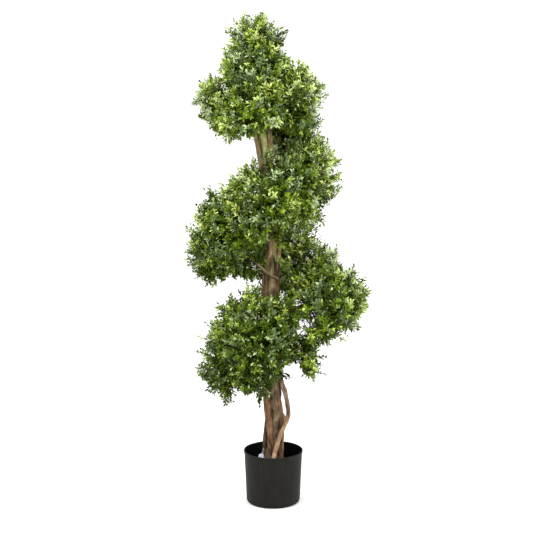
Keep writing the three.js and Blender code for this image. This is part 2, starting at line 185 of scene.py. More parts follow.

# Where the leaves are lighter or darker than elsewhere: partly fresher or duller colour, partly painted light
# and shade.
# From front to back as above: the place, its radius in mm, and the lift in steps from one tone to the next
LIGHT_AND_TONE_PLACES = {
    "dome": ((0.50, 0.20, 140, 0.4), (0.38, 0.24, 55, -1.9), (0.69, 0.57, 35, -1.0),
        (0.32, 0.50, 22, -1.6), (0.72, 0.30, 26, -1.5), (0.17, 0.37, 40, 2.6), (0.38, 0.77, 34, 1.3),
        (0.68, 0.12, 18, 2.2), (0.92, 0.27, 22, 1.4)),
    "high_left": ((0.70, 0.79, 36, -2.2), (0.14, 0.74, 32, 2.2), (0.55, 0.14, 36, 1.8)),
    "high_front": ((0.53, 0.37, 15, 1.8), (0.72, 0.64, 20, 1.5), (0.49, 0.60, 22, -1.3),
        (0.78, 0.27, 18, -1.3), (0.38, 0.19, 20, -0.9), (0.75, 0.09, 24, 2.2)),
    "high_right": ((0.44, 0.18, 45, -2.8), (0.67, 0.81, 32, 1.8), (0.30, 0.62, 20, -1.3),
        (0.57, 0.43, 24, -1.4), (0.92, 0.47, 30, 1.8)),
    "mid_shoulder": ((0.95, 0.78, 32, -2.2), (0.85, 0.57, 22, -1.9), (0.55, 0.10, 30, 0.6),
        (0.43, 0.64, 28, 1.1)),
    "mid_right": ((0.60, 0.55, 90, 0.5), (0.18, 0.83, 34, 2.3), (0.68, 0.67, 28, 1.3),
        (0.25, 0.63, 42, -2.8), (0.58, 0.40, 32, -1.3), (0.68, 0.20, 24, -1.4), (0.25, 0.26, 18, -1.9),
        (0.44, 0.26, 22, 1.2), (0.79, 0.80, 32, 1.3), (0.92, 0.42, 28, 2.0), (0.40, 0.14, 34, 2.6)),
    "mid_front": ((0.60, 0.33, 30, -2.3), (0.32, 0.35, 30, -0.9), (0.61, 0.80, 22, -1.5),
        (0.22, 0.44, 26, -1.2), (0.47, 0.25, 18, 1.3), (0.33, 0.46, 22, -1.3), (0.62, 0.98, 28, 1.9),
        (0.50, 0.09, 20, -1.1), (0.22, 0.69, 36, 1.4), (0.72, 0.63, 34, 2.1)),
    "mid_left": ((0.34, 0.80, 24, -1.4), (0.08, 0.72, 28, 1.1), (0.31, 0.44, 34, -2.2),
        (0.20, 0.41, 24, -1.5), (0.58, 0.61, 26, 2.0), (0.52, 1.01, 22, 1.0), (0.16, 0.23, 26, 1.0)),
    "low_back": ((0.60, 0.77, 38, 2.2),),
    "low_right": ((0.22, 0.05, 28, -2.4), (0.21, 0.36, 16, 1.4), (0.49, 0.99, 30, 0.8),
        (0.63, 0.95, 15, -1.6), (0.71, 0.39, 20, -1.6), (0.66, 0.19, 20, -1.2), (0.86, 0.66, 20, -0.8),
        (0.57, 0.87, 30, 1.7), (0.74, 0.68, 24, 1.0), (0.04, 0.74, 38, 2.5), (0.92, 0.35, 36, 2.3),
        (0.58, 0.41, 30, -0.9), (0.38, 0.58, 24, -1.5)),
    "low_shoulder": ((0.71, 0.35, 26, 1.4), (0.82, 0.83, 22, 1.3), (0.20, 0.38, 22, -0.9),
        (0.55, 0.51, 26, -1.2)),
    "low_front": ((0.64, 0.79, 34, -2.1), (0.73, 0.54, 22, 2.0), (0.76, 0.42, 26, -1.8),
        (0.63, 0.42, 40, -2.4), (0.34, 0.48, 40, -1.6), (0.30, 0.19, 20, 2.2), (0.51, 0.04, 30, -2.4)),
    "low_left": ((0.67, 0.64, 26, -2.3), (0.44, 0.46, 32, -2.0), (0.54, 0.25, 34, -1.9),
        (0.21, 0.40, 28, -0.6), (0.33, 0.54, 24, -0.9), (0.30, 0.24, 34, -1.2), (0.33, 0.66, 34, 2.0),
        (0.44, -0.01, 20, 2.2)),
    "low_droop": ((0.57, 0.44, 34, 2.2), (0.70, 0.00, 24, 1.2)),
}
LIFT_FADE = 0.7  # how fast a lift fades with the square of the distance in radii
LIFT_LIMITS = (-2.4, 1.8)

# Limbs inside the masses
CLUSTER_SIZE = 46  # sprigs carried by one sub-bough
TWIG_SIZE = 6  # sprigs carried by one twig
FORK_SHARE = 0.72  # of the way from the limb to the sprigs that a sub-bough goes
TWIG_SHARE = 0.8  # of the way from the sub-bough to its sprigs that a twig goes
TWIG_SAG = 0.08
TWIG_START = (0.55, 1.0)  # shares of the sub-bough's length from which twigs leave it
SPRIG_RADII = (0.85, 0.8, 0.65, 0.4)  # mm, from the twig to the tip
TWIG_RADII = (1.5, 0.9)  # mm, from the sub-bough to the sprigs

# Bark
RING_STEP = 4.0 * MM
SLICE_STEP = 6 * MM
OVERLAP = 0.9 * MM  # a stem's outline this near to another stem is cut by it
LEAST_FREE = 0.35  # of an outline, for a circle to be fitted to it
USUAL_RADII = (0.5, 2.2)  # circles beside the stem's median that are believed
RIDGES = (2, 3, 5, 7, 10, 13)  # waves round a limb that its ridges are made of
STREAKS = (3, 4, 6, 9, 14, 17)
RIPPLE = (0.05, 0.14)  # metres along a limb in which a ridge comes and goes
CRACKS = 5
CRACK_WIDTH = 0.16  # radians round the limb
CRACK_DEPTH = 1.5  # beside the ridges' height
CRACK_LENGTH = (0.12, 0.3)  # metres
KNOT_SIZE = (5, 9)  # mm
KNOT_HEIGHT, EYE_DEPTH, GNARL_HEIGHT = 0.16, 0.14, 0.10  # shares of the limb's radius
ANY_PHASE = (0, 6.28)  # radians
STEM_NODES = ("trunk_main", "trunk_left", "trunk_right", "trunk_back", "runner_lower", "runner_upper")


# ---------------------------------------------------------------- meshes


def triangles_of(name):
    """A CAD node's welded vertices and its triangles."""
    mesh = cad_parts[name].data
    corners = np.empty(len(mesh.vertices) * 3)
    mesh.vertices.foreach_get("co", corners)
    mesh.calc_loop_triangles()
    triangles = np.empty(len(mesh.loop_triangles) * 3, np.int32)
    mesh.loop_triangles.foreach_get("vertices", triangles)
    points, welded = np.unique(np.round(corners.reshape(-1, 3), 7), axis=0, return_inverse=True)
    triangles = welded.reshape(-1)[triangles].reshape(-1, 3)
    different = (triangles != np.roll(triangles, 1, axis=1)).all(axis=1)
    return points, triangles[different]


def tree_of(name):
    """A search tree of a CAD node's surface."""
    points, triangles = triangles_of(name)
    return BVHTree.FromPolygons(points.tolist(), triangles.tolist())


def unit(vectors):
    """The same vectors, each of length one."""
    return vectors / np.maximum(np.linalg.norm(vectors, axis=-1, keepdims=True), 1e-12)


def new_piece(name, points, triangles, materials, slots=None, smooth=True):
    """A mesh object from arrays. slots gives each triangle's place in materials."""
    mesh = bpy.data.meshes.new(name)
    mesh.vertices.add(len(points))
    mesh.vertices.foreach_set("co", np.asarray(points, np.float32).ravel())
    mesh.loops.add(len(triangles) * 3)
    mesh.loops.foreach_set("vertex_index", np.asarray(triangles, np.int32).ravel())
    mesh.polygons.add(len(triangles))
    mesh.polygons.foreach_set("loop_start", np.arange(0, len(triangles) * 3, 3, dtype=np.int32))
    mesh.polygons.foreach_set("use_smooth", np.full(len(triangles), smooth))
    for material in materials:
        mesh.materials.append(material)
    if slots is not None:
        mesh.polygons.foreach_set("material_index", np.asarray(slots, np.int32))
    mesh.update(calc_edges=True)
    mesh.validate()
    piece = bpy.data.objects.new(name, mesh)
    bpy.context.scene.collection.objects.link(piece)
    return piece


def register(piece, slot, *nodes):
    """Says which body a piece rides and which nodes it replaces. slot is not used."""
    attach(piece, "root")
    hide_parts(*nodes)
    return piece


def ring_faces(rings, sides):
    """Triangles of a tube of rings, each with that many sides."""
    ring, side = np.meshgrid(np.arange(rings - 1), np.arange(sides), indexing="ij")
    a = ring * sides + side
    b = ring * sides + (side + 1) % sides
    lower = np.stack([a, b, b + sides], axis=-1)
    upper = np.stack([a, b + sides, a + sides], axis=-1)
    return np.concatenate([lower.reshape(-1, 3), upper.reshape(-1, 3)])


def tubes(paths, radii, sides):
    """Many closed tapering tubes at once. paths is (count, steps, 3) and radii (count, steps)."""
    count, steps, _ = paths.shape
    tangents = unit(np.gradient(paths, axis=1))
    whole = unit(paths[:, -1] - paths[:, 0])
    aside = np.where(np.abs(whole[:, 2:]) < 0.8, UP, np.array([1.0, 0.0, 0.0]))
    across = unit(np.cross(tangents, aside[:, None, :]))
    over = np.cross(tangents, across)
    angles = turns(sides)
    spokes = (
        across[:, :, None, :] * np.cos(angles)[None, None, :, None]
        + over[:, :, None, :] * np.sin(angles)[None, None, :, None]
    )
    points = paths[:, :, None, :] + spokes * radii[:, :, None, None]
    fan = np.stack([np.zeros(sides - 2, int), np.arange(2, sides), np.arange(1, sides - 1)], axis=1)
    one = np.concatenate([ring_faces(steps, sides), fan, fan[:, ::-1] + (steps - 1) * sides])
    triangles = one[None] + (np.arange(count) * steps * sides)[:, None, None]
    return points.reshape(-1, 3), triangles.reshape(-1, 3)


def joined(parts):
    """Joins (points, triangles, *other arrays) tuples into one."""
    start = 0
    moved = []
    for part in parts:
        moved.append(part[1] + start)
        start += len(part[0])
    extras = [np.concatenate([part[i] for part in parts]) for i in range(2, len(parts[0]))]
    return (np.concatenate([part[0] for part in parts]), np.concatenate(moved), *extras)


def turns(count):
    """Evenly spaced angles round a circle."""
    return np.arange(count) * 2 * math.pi / count


def distances(path):
    """How far along a path each of its points lies."""
    return np.concatenate([[0], np.cumsum(np.linalg.norm(np.diff(path, axis=0), axis=1))])


def end_fans(first, rings, sides):
    """Triangles that close a tube at its foot and its head, to the two points from first on."""
    side = np.arange(sides)
    after = (side + 1) % sides
    top = (rings - 1) * sides
    foot = np.stack([np.full(sides, first), after, side], axis=1)
    return foot, np.stack([np.full(sides, first + 1), top + side, top + after], axis=1)


def height_shares(points):
    """Each point's height as a share of the plant's."""
    return (points[:, 2] - cad_box[0][2]) / (cad_box[1][2] - cad_box[0][2])


def packed(points, triangles):
    """The same triangles without the points that none of them uses."""
    used, places = np.unique(triangles, return_inverse=True)
    return points[used], places.reshape(-1, 3)


def on_curve(t, a, b, c, d):
    """The point at share t of a cubic curve."""
    return (1 - t) ** 3 * a + 3 * (1 - t) ** 2 * t * b + 3 * (1 - t) * t**2 * c + t**3 * d


def bezier(a, b, c, d, steps):
    """Cubic curves with (count, 3) control points, as (count, steps, 3)."""
    return on_curve(np.linspace(0, 1, steps)[None, :, None], *(p[:, None, :] for p in (a, b, c, d)))


def waves(seed, count, wavelength):
    """A seeded smooth field over points in space, between about -1 and 1."""
    rng = np.random.default_rng(seed)
    pulls = unit(rng.normal(size=(count, 3))) * (2 * math.pi / wavelength) * rng.uniform(0.6, 1.5, (count, 1))
    phases = rng.uniform(0, 2 * math.pi, count)
    return lambda points: np.sin(points @ pulls.T + phases).sum(axis=-1) / math.sqrt(count / 2) / 1.6


# ---------------------------------------------------------------- materials


def rgb(hexadecimal):
    """Linear colour from a hex value in sRGB."""
    shares = [int(hexadecimal[i : i + 2], 16) / 255 for i in (0, 2, 4)]
    return tuple(((s + 0.055) / 1.055) ** 2.4 if s > 0.04045 else s / 12.92 for s in shares) + (1.0,)


def plain(name, colour, roughness, specular):
    """A material of one base colour."""
    material = bpy.data.materials.new(name)
    material.use_nodes = True
    shader = material.node_tree.nodes["Principled BSDF"]
    shader.inputs["Base Color"].default_value = rgb(colour)
    shader.inputs["Roughness"].default_value = roughness
    shader.inputs["Specular IOR Level"].default_value = specular
    return material


class Nodes:
    """Short calls for building a material's nodes."""

    def __init__(self, name, roughness, specular):
        self.material = plain(name, "808080", roughness, specular)
        self.tree = self.material.node_tree
        self.shader = self.tree.nodes["Principled BSDF"]
        self.place = self.tree.nodes.new("ShaderNodeTexCoord").outputs["Object"]

    def link(self, source, target):
        self.tree.links.new(source, target)

    def give(self, socket, value):
        """Sets a socket to a number or a hex colour, or links it to another node's output."""
        if isinstance(value, str):
            socket.default_value = rgb(value)
        elif isinstance(value, (int, float)):
            socket.default_value = value
        else:
            self.link(value, socket)

    def noise(self, scale, stretch=(1, 1, 1), detail=4.0, roughness=0.55):
        mapping = self.tree.nodes.new("ShaderNodeMapping")
        mapping.inputs["Scale"].default_value = stretch
        self.link(self.place, mapping.inputs["Vector"])
        node = self.tree.nodes.new("ShaderNodeTexNoise")
        node.inputs["Scale"].default_value = scale
        node.inputs["Detail"].default_value = detail
        node.inputs["Roughness"].default_value = roughness
        self.link(mapping.outputs["Vector"], node.inputs["Vector"])
        return node.outputs["Fac"]

    def attribute(self, name):
        node = self.tree.nodes.new("ShaderNodeAttribute")
        node.attribute_name = name
        return node.outputs["Fac"]

    def ramp(self, source, stops):
        node = self.tree.nodes.new("ShaderNodeValToRGB")
        ramp = node.color_ramp
        while len(ramp.elements) < len(stops):
            ramp.elements.new(0.5)
        for element, (place, colour) in zip(ramp.elements, stops):
            element.position = place
            element.color = rgb(colour)
        self.link(source, node.inputs["Fac"])
        return node.outputs["Color"]

    def maths(self, operation, a, b):
        node = self.tree.nodes.new("ShaderNodeMath")
        node.operation = operation
        for socket, value in zip(node.inputs, (a, b)):
            self.give(socket, value)
        return node.outputs["Value"]

    def total(self, *shares):
        """The weighted sum of (source, weight) pairs."""
        parts = [self.maths("MULTIPLY", source, weight) for source, weight in shares]
        added = parts[0]
        for part in parts[1:]:
            added = self.maths("ADD", added, part)
        return added

    def mix(self, share, a, b):
        node = self.tree.nodes.new("ShaderNodeMix")
        node.data_type = "RGBA"
        for socket, value in ((node.inputs["Factor"], share), (node.inputs[6], a), (node.inputs[7], b)):
            self.give(socket, value)
        return node.outputs[2]

    def bump(self, height, strength, distance):
        node = self.tree.nodes.new("ShaderNodeBump")
        node.inputs["Strength"].default_value = strength
        node.inputs["Distance"].default_value = distance
        self.link(height, node.inputs["Height"])
        self.link(node.outputs["Normal"], self.shader.inputs["Normal"])


BARK_STOPS = (0.22, 0.38, 0.54, 0.70, 0.88)  # from the cracks in painted shade to the ridges in painted light


def bark_material(name, stops, upper_stops, patch, patch_share):
    """Streaked bark. upper_stops replace stops as the attribute "rise" goes to 1."""
    n = Nodes(name, roughness=0.85, specular=0.15)
    fibre = n.noise(330, stretch=(1, 1, 0.12), detail=5.0)
    fleck = n.noise(760, stretch=(1, 1, 0.5), detail=3.0)
    mottle = n.noise(105, stretch=(1, 1, 0.5), detail=3.0)
    blotch = n.noise(38, stretch=(1, 1, 0.35), detail=3.0)
    tone = n.total(
        # Painted shade in the cracks and the knots' eyes and painted light on the ridges and lumps
        (n.attribute("relief_and_shade"), 0.52),
        (n.attribute("streak"), 0.20),
        (fibre, 0.30),
        (n.maths("SUBTRACT", fleck, 0.5), 0.26),
        (n.maths("SUBTRACT", mottle, 0.5), 0.46),
    )
    colour = n.mix(n.attribute("rise"), n.ramp(tone, stops), n.ramp(tone, upper_stops))
    worn = n.maths("MULTIPLY", n.maths("SUBTRACT", blotch, 1 - patch_share), 6.0)
    worn = n.maths("MINIMUM", n.maths("MAXIMUM", worn, 0.0), 0.6)
    colour = n.mix(worn, colour, n.mix(0.5, colour, patch))
    n.link(colour, n.shader.inputs["Base Color"])
    n.bump(n.total((fibre, 0.7), (fleck, 0.3)), 0.8, 1.6 * MM)
    return n.material


BARK_GREY, BARK_BROWN, BARK_TAN, BARK_SHADED = (
    bark_material(name, *(tuple(zip(BARK_STOPS, colours.split())) for colours in ramps), patch, patch_share)
    for name, ramps, patch, patch_share in (
        ("bark_grey_olive", ("17110a 3c3225 5a4d39 796b52 a3967a", "2e2a18 6c6843 98945f b8b57c d2cf9e"),
         "5b5b3f", 0.46),
        ("bark_brown", ("170e07 3e2c1d 604732 806246 a58764", "241b10 5a4b36 857350 a6946a c4b48a"),
         "6b4a30", 0.42),
        ("bark_tan", ("392718 6d543d 967b5d b5987a d2bb9b", "20150f 46342a 6a5345 8b7565 ab9a8a"),
         "7a6048", 0.40),
        # A darker copy of the bark: painted shade for the stem at the back and the limbs inside the masses
        ("bark_shaded", ("100c08 261d15 3a2f23 4f4333 655744", "14100a 2e261a 463c2a 5f533c 776a50"),
         "443a2c", 0.42),
    )
)

TWIG_BROWN = plain("twig_brown", "4e3b28", 0.75, 0.3)
TWIG_DARK = plain("twig_dark", "33271b", 0.8, 0.3)
TWIG_GREEN = plain("twig_green", "4c5a2a", 0.6, 0.4)

# Leaf colours from the darkest to the freshest, and the paler greyish ones, dealt out by sprig; pale_grey
# also goes to single leaves as painted sheen
LEAF_TONES = {
    tone: plain("leaf_" + tone, colour, roughness, specular)
    for tone, colour, roughness, specular in (
        ("deep", "2b3903", 0.50, 0.10),
        ("dark", "374804", 0.46, 0.12),
        ("mid", "455a06", 0.42, 0.15),
        ("olive", "576d0e", 0.40, 0.18),
        ("fresh", "718722", 0.40, 0.20),
        ("lime", "90a23d", 0.40, 0.22),
        ("pale_lime", "b0c06e", 0.42, 0.25),
        ("grey", "526435", 0.38, 0.28),
        ("pale_grey", "98a874", 0.38, 0.30),
    )
}
TONE_NAMES = list(LEAF_TONES)
GREEN_TONES = 7

# Sprig colourings: the tone of the lower leaves, of the leaves at the tip, and how often it is dealt
# in a fresh patch, in an ordinary place and in a place of painted shade
COLOURINGS = (
    ("deep", "dark", (0.02, 0.10, 0.40)),
    ("dark", "mid", (0.06, 0.20, 0.34)),
    ("dark", "olive", (0.08, 0.16, 0.14)),
    ("mid", "olive", (0.10, 0.16, 0.06)),
    ("mid", "fresh", (0.16, 0.14, 0.04)),
    ("olive", "lime", (0.22, 0.08, 0.01)),
    ("fresh", "pale_lime", (0.18, 0.03, 0.00)),
    ("grey", "grey", (0.10, 0.10, 0.02)),
    ("grey", "pale_grey", (0.07, 0.04, 0.00)),
)
COLOUR_PATCH = 60 * MM  # width of a patch of like-coloured sprigs
TONE_SPREAD = 0.38  # of single leaves round their sprig's tone, in steps from one tone to the next
BUNCH_SPREAD = 0.50  # of whole bunches, in the same steps
MIDDLE_LIFT = 0.9  # how much fresher the middle of a bunch is than its edge
HEIGHT_LIGHT_LIFT = 1.6  # how much lighter the head's leaves are than the lowest turn's: partly fresher colour, partly painted light from above
HEIGHT_LEVEL = 0.60  # share of the height at which that makes no difference
SHEEN_SHARE = 0.05  # single leaves painted pale grey as a painted sheen
FRESH_LEVEL = 0.85  # a spray is fresh above this level of its field and chance
FRESH_FALL = 0.5  # how much lower that level is at the plant's top than at its foot
UNDER_LEVEL = 0.45  # a sprig that faces down more than this is painted in shade
# Above this level of its field and chance a spray is grey, by its height as a share of the plant's
GREY_LEVELS = ((0.30, 0.50, 0.75, 1.0), (1.45, 0.85, 0.50, 0.25))
GREY_SHARE = 0.45  # of what makes green leaves fresher that grey leaves take


# ---------------------------------------------------------------- leaves

# A leaf lies along y, its blade's upper face towards z: across in half widths, along in lengths, lift in
# half widths
LEAF_POINTS = np.array(
    [
        (0.0, 0.0, 0.0),
        (-0.62, 0.28, 0.14),
        (0.62, 0.28, 0.14),
        (-1.0, 0.62, 0.20),
        (1.0, 0.62, 0.20),
        (0.0, 1.0, -0.10),
        (0.0, 0.52, -0.06),
    ]
)
LEAF_FACES = np.array([(0, 2, 6), (2, 4, 6), (4, 5, 6), (5, 3, 6), (3, 1, 6), (1, 0, 6)])
# A leaf deep in a mass has its outline only
INNER_LEAF_FACES = np.array([(0, 2, 4), (0, 4, 5), (0, 5, 3), (0, 3, 1)])


def sprig_stems(base, tip, rng):
    """Control points of gently bent sprig stems."""
    along = tip - base
    length = np.linalg.norm(along, axis=1, keepdims=True)
    aside = unit(np.cross(along, rng.normal(size=along.shape)))
    bend = aside * length * rng.uniform(-0.12, 0.12, (len(base), 1))
    return base, base + along * 0.35 + bend, base + along * 0.7 + bend, tip


def leaf_places(lengths, rng):
    """Leaves in pairs along each sprig: each leaf's sprig, pair, side, and place along the sprig."""
    leafy = 1 - FIRST_LEAF
    most = int(np.ceil(lengths.max() * leafy / PAIR_GAP)) + 1
    pairs = np.clip(np.round(lengths * leafy / PAIR_GAP).astype(int), LEAST_PAIRS, most)
    sprig, pair, side = np.meshgrid(np.arange(len(lengths)), np.arange(most), np.arange(2), indexing="ij")
    kept = pair < pairs[sprig]
    kept &= rng.random(kept.shape) > LEAVES_MISSING
    sprig, pair, side = sprig[kept], pair[kept], side[kept]
    place = FIRST_LEAF + leafy * (pair + 0.6) / (pairs[sprig] - 0.4)
    place = np.clip(place + rng.normal(0, 0.012, len(sprig)), FIRST_LEAF, 1.0)
    return sprig, pair, side, place


def sprig_leaves(stems, lengths, rng):
    """The leaves of every sprig, each pair crossed with the last. Returns their points, and each leaf's sprig
    and place."""
    sprig, pair, side, place = leaf_places(lengths, rng)
    count, leaves = len(lengths), len(sprig)
    a, b, c, d = (p[sprig] for p in stems)
    t = place[:, None]
    foot = on_curve(t, a, b, c, d)
    tangent = unit(3 * (1 - t) ** 2 * (b - a) + 6 * (1 - t) * t * (c - b) + 3 * t**2 * (d - c))

    turned = rng.uniform(0, 2 * math.pi, count)[sprig] + pair * math.pi / 2 + side * math.pi
    turned = turned + rng.normal(0, 0.30, leaves)
    reference = unit(np.cross(tangent, rng.normal(size=(count, 3))[sprig]))
    across = np.cross(tangent, reference)
    outward = reference * np.cos(turned)[:, None] + across * np.sin(turned)[:, None]

    near_tip = np.clip((place - 0.75) / 0.25, 0, 1)
    spread = LEAF_ANGLE - ANGLE_ALONG * place - ANGLE_AT_TIP * near_tip
    spread = np.radians(spread + rng.normal(0, ANGLE_SPREAD, leaves))
    blade = tangent * np.cos(spread)[:, None] + outward * np.sin(spread)[:, None]
    face = tangent * np.sin(spread)[:, None] - outward * np.cos(spread)[:, None]
    face = face + UP * rng.uniform(0.0, 0.45, (leaves, 1)) + rng.normal(0, 0.18, (leaves, 3))
    face = unit(face - blade * (face * blade).sum(axis=1, keepdims=True))
    edge = np.cross(blade, face)

    size = rng.uniform(*LEAF_LENGTH, leaves) * (1 - LEAF_SHRINK * near_tip)
    size = size * (SPRIG_SCALE[0] + SPRIG_SCALE[1] * rng.random(count)[sprig])
    half = size * rng.uniform(*LEAF_SLIMNESS, leaves) / 2
    curl = rng.uniform(0.4, 1.8, leaves)
    x = LEAF_POINTS[None, :, 0] * half[:, None]
    y = LEAF_POINTS[None, :, 1] * size[:, None]
    z = LEAF_POINTS[None, :, 2] * half[:, None] * curl[:, None]
    z[:, 5] -= size * rng.uniform(-0.02, 0.12, leaves)
    points = (
        foot[:, None, :] + edge[:, None, :] * x[..., None] + blade[:, None, :] * y[..., None]
        + face[:, None, :] * z[..., None]
    )
    return points, sprig, place


# ---------------------------------------------------------------- sprigs of a mass


def spread_over(points, triangles, spacing, rng):
    """Seeded places on a surface, none nearer to another than the spacing, with smooth normals."""
    a, b, c = (points[triangles[:, i]] for i in range(3))
    cross = np.cross(b - a, c - a)
    area = np.linalg.norm(cross, axis=1) / 2
    corner_normals = np.zeros_like(points)
    for i in range(3):
        np.add.at(corner_normals, triangles[:, i], cross)
    corner_normals = unit(corner_normals)
    tries = int(7 * area.sum() / spacing**2)
    chosen = rng.choice(len(area), tries, p=area / area.sum())
    u, v = rng.random((2, tries))
    over = u + v > 1
    u[over], v[over] = 1 - u[over], 1 - v[over]
    weights = np.stack([1 - u - v, u, v], axis=1)
    places = (points[triangles[chosen]] * weights[..., None]).sum(axis=1)
    normals = unit((corner_normals[triangles[chosen]] * weights[..., None]).sum(axis=1))
    kept = np.empty((tries, 3))
    order = []
    for i in range(tries):
        near = kept[: len(order)] - places[i]
        if len(order) == 0 or (near * near).sum(axis=1).min() > spacing**2:
            kept[len(order)] = places[i]
            order.append(i)
    return places[order], normals[order]


def is_inside(tree, point):
    near, normal, _, _ = tree.find_nearest(point)
    return (point - near).dot(normal) < 0


def distance_to(tree, point):
    return tree.find_nearest(point)[3]


def clear_of_stems(point):
    """Whether there is room for a sprig's tip between a point and every stem."""
    return min(distance_to(tree, point) for tree in stem_trees) > TRUNK_CLEARANCE


def covered(places, normals, others, reach):
    """Whether a neighbouring mass lies straight in front of each place."""
    flags = np.zeros(len(places), bool)
    for i, (place, normal) in enumerate(zip(places, normals)):
        ahead = Vector(place + normal * reach)
        flags[i] = any(is_inside(tree, ahead) for tree in others)
    return flags


def clusters(points, count, rng):
    """Groups points into count clusters. Returns each point's cluster and the middles."""
    count = max(1, min(count, len(points)))
    middles = points[rng.choice(len(points), count, replace=False)]
    for _ in range(8):
        nearest = ((points[:, None] - middles[None]) ** 2).sum(axis=2).argmin(axis=1)
        for k in range(count):
            if (nearest == k).any():
                middles[k] = points[nearest == k].mean(axis=0)
    return nearest, middles


MASS_NODES = sorted(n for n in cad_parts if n.startswith("foliage_"))
mass_trees = {n: tree_of(n) for n in MASS_NODES}
stem_trees = [tree_of(n) for n in STEM_NODES]
fresh_field = waves(11, 9, COLOUR_PATCH * 2)
grey_field = waves(12, 9, COLOUR_PATCH * 1.6)


def near_box(a, b, margin):
    """Whether two nodes' boxes are nearer to each other than the margin."""
    (low_a, high_a), (low_b, high_b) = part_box(a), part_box(b)
    return all(low_a[i] - margin < high_b[i] and low_b[i] - margin < high_a[i] for i in range(3))


def outwards(places):
    """Level directions from the main stem out to each place."""
    stem = stem_lines["trunk_main"][0]
    levels = np.clip(places[:, 2], stem[0, 2], stem[-1, 2])
    middle = np.column_stack([np.interp(levels, stem[:, 2], stem[:, i]) for i in range(2)])
    return unit(np.column_stack([places[:, :2] - middle, np.zeros(len(places))]))


def nearness(points, part, across, up, radius):
    """Each point's squared distance from a place's line, in squares of its radius."""
    seen = np.column_stack([points[:, 0], points[:, 2] + FALL * points[:, 1]])
    low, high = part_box("foliage_" + part)
    middle = (low.x + across * (high.x - low.x), low.z + up * (high.z - low.z))
    return ((seen - middle) ** 2).sum(axis=1) / (radius * MM) ** 2


def within_any(points, places):
    """Whether each point is in one of the thin places or holes."""
    found = np.zeros(len(points), bool)
    for part, spots in places.items():
        for spot in spots:
            found |= nearness(points, part, *spot) < 1
    return found


def placed_light_and_tone(points):
    """How much lighter each point's leaves are than elsewhere, in steps of tone: partly colour, partly
    painted light and shade.
    """
    total = np.zeros(len(points))
    for part, spots in LIGHT_AND_TONE_PLACES.items():
        for *spot, lift in spots:
            total += lift * np.exp(-LIFT_FADE * nearness(points, part, *spot))
    return np.clip(total, *LIFT_LIMITS)


def tuft_sprigs(node, rng):
    """The sprigs of a mass's own tufts, in the same order of values as place_sprigs gives."""
    tufts = []
    low, high = (np.array(corner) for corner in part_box(node))
    for shares, towards in TUFTS.get(node.removeprefix("foliage_"), ()):
        heading = unit(np.array(towards))
        middle = low + np.array(shares) * (high - low) - heading * TUFT_LEAF
        tip = middle + rng.normal(0, TUFT_SPREAD, (TUFT_SPRIGS, 3))
        axis = unit(tip - (middle - heading * TUFT_DEPTH))
        length = rng.uniform(*OUTER_LENGTH, TUFT_SPRIGS)
        every = np.ones((TUFT_SPRIGS, 1))
        lift = np.full(TUFT_SPRIGS, rng.uniform(*TUFT_LIFT))
        base = tip - axis * length[:, None]
        tufts.append((base, tip, np.zeros(TUFT_SPRIGS, int), heading * every, middle * every, lift))
    return tufts


def in_bunches(places, normals, rng):
    """Each place's bunch, with the middle of each bunch and the way that it faces."""
    bunch, middles = clusters(places, round(len(places) / BUNCH_SIZE), rng)
    facing = np.zeros_like(middles)
    np.add.at(facing, bunch, normals)
    return bunch, middles, unit(facing)


def outer_places(node, rng):
    """Places of sprigs over a mass, and their normals. Hidden ones have another mass in front of them, and
    those in a notch between two masses look out through it."""
    near = [mass_trees[n] for n in MASS_NODES if n != node and near_box(n, node, COVERED_REACH)]
    places, normals = spread_over(*triangles_of(node), OUTER_SPACING, rng)
    clear = np.array([clear_of_stems(Vector(p)) for p in places])
    places, normals = places[clear], normals[clear]
    hidden = covered(places, normals, near, COVERED_REACH)
    ahead = outwards(places)
    notch = hidden & ~covered(places, ahead, [mass_trees[node], *near], NOTCH_REACH)
    normals[notch] = unit(ahead[notch] + 0.4 * normals[notch] + 0.3 * UP)
    hidden &= ~notch
    kept = ~hidden | (rng.random(len(places)) < COVERED_KEPT)
    return places[kept], normals[kept], hidden[kept], notch[kept]


def outer_sprigs(node, rng):
    """Sprigs that fan out in bunches over a mass."""
    places, normals, hidden, notch = outer_places(node, rng)
    count = len(places)
    bunch, middles, facing = in_bunches(places, normals, rng)
    level = rng.uniform(*BUNCH_LEVEL, len(middles))
    proud = rng.random(len(middles)) < PROUD_SHARE
    level[proud] = rng.uniform(*PROUD_LEVEL, proud.sum())
    aside = places - middles[bunch]
    aside -= facing[bunch] * (aside * facing[bunch]).sum(axis=1, keepdims=True)
    spread = (aside**2).sum(axis=1) / BUNCH_RADIUS**2

    offset = level[bunch] + BUNCH_DOME * (1 - spread) + rng.uniform(*TIP_OFFSET, count)
    stray = (rng.random(count) < STRAY_SHARE) & ~hidden
    offset[stray] += rng.uniform(*STRAY_OFFSET, stray.sum())
    offset[notch] = rng.uniform(*NOTCH_OFFSET, notch.sum())
    offset[hidden] = HIDDEN_OFFSET
    tip = places - BUNCH_PULL * aside + normals * offset[:, None]
    root = middles[bunch] - facing[bunch] * BUNCH_DEPTH
    axis = FAN_SHARE * unit(tip - root) + NORMAL_SHARE * normals + UP_SHARE * UP
    axis = unit(axis + rng.normal(0, LOOSENESS, (count, 3)))
    facing_in = (axis * normals).sum(axis=1) < LEAST_OUTWARDS
    axis[facing_in] = unit(axis[facing_in] + normals[facing_in])
    length = rng.uniform(*OUTER_LENGTH, count)
    lift = rng.normal(0, BUNCH_SPREAD, len(middles))[bunch] + MIDDLE_LIFT * (0.5 - np.minimum(spread, 1.5))

    thin = within_any(tip, THIN_PLACES) | within_any(tip - THIN_REACH * axis * length[:, None], THIN_PLACES)
    dense = ~thin | (rng.random(count) > THIN_DROPPED)
    sprigs = (tip - axis * length[:, None], tip, hidden.astype(int), normals, middles[bunch], lift)
    return [values[dense] for values in sprigs]


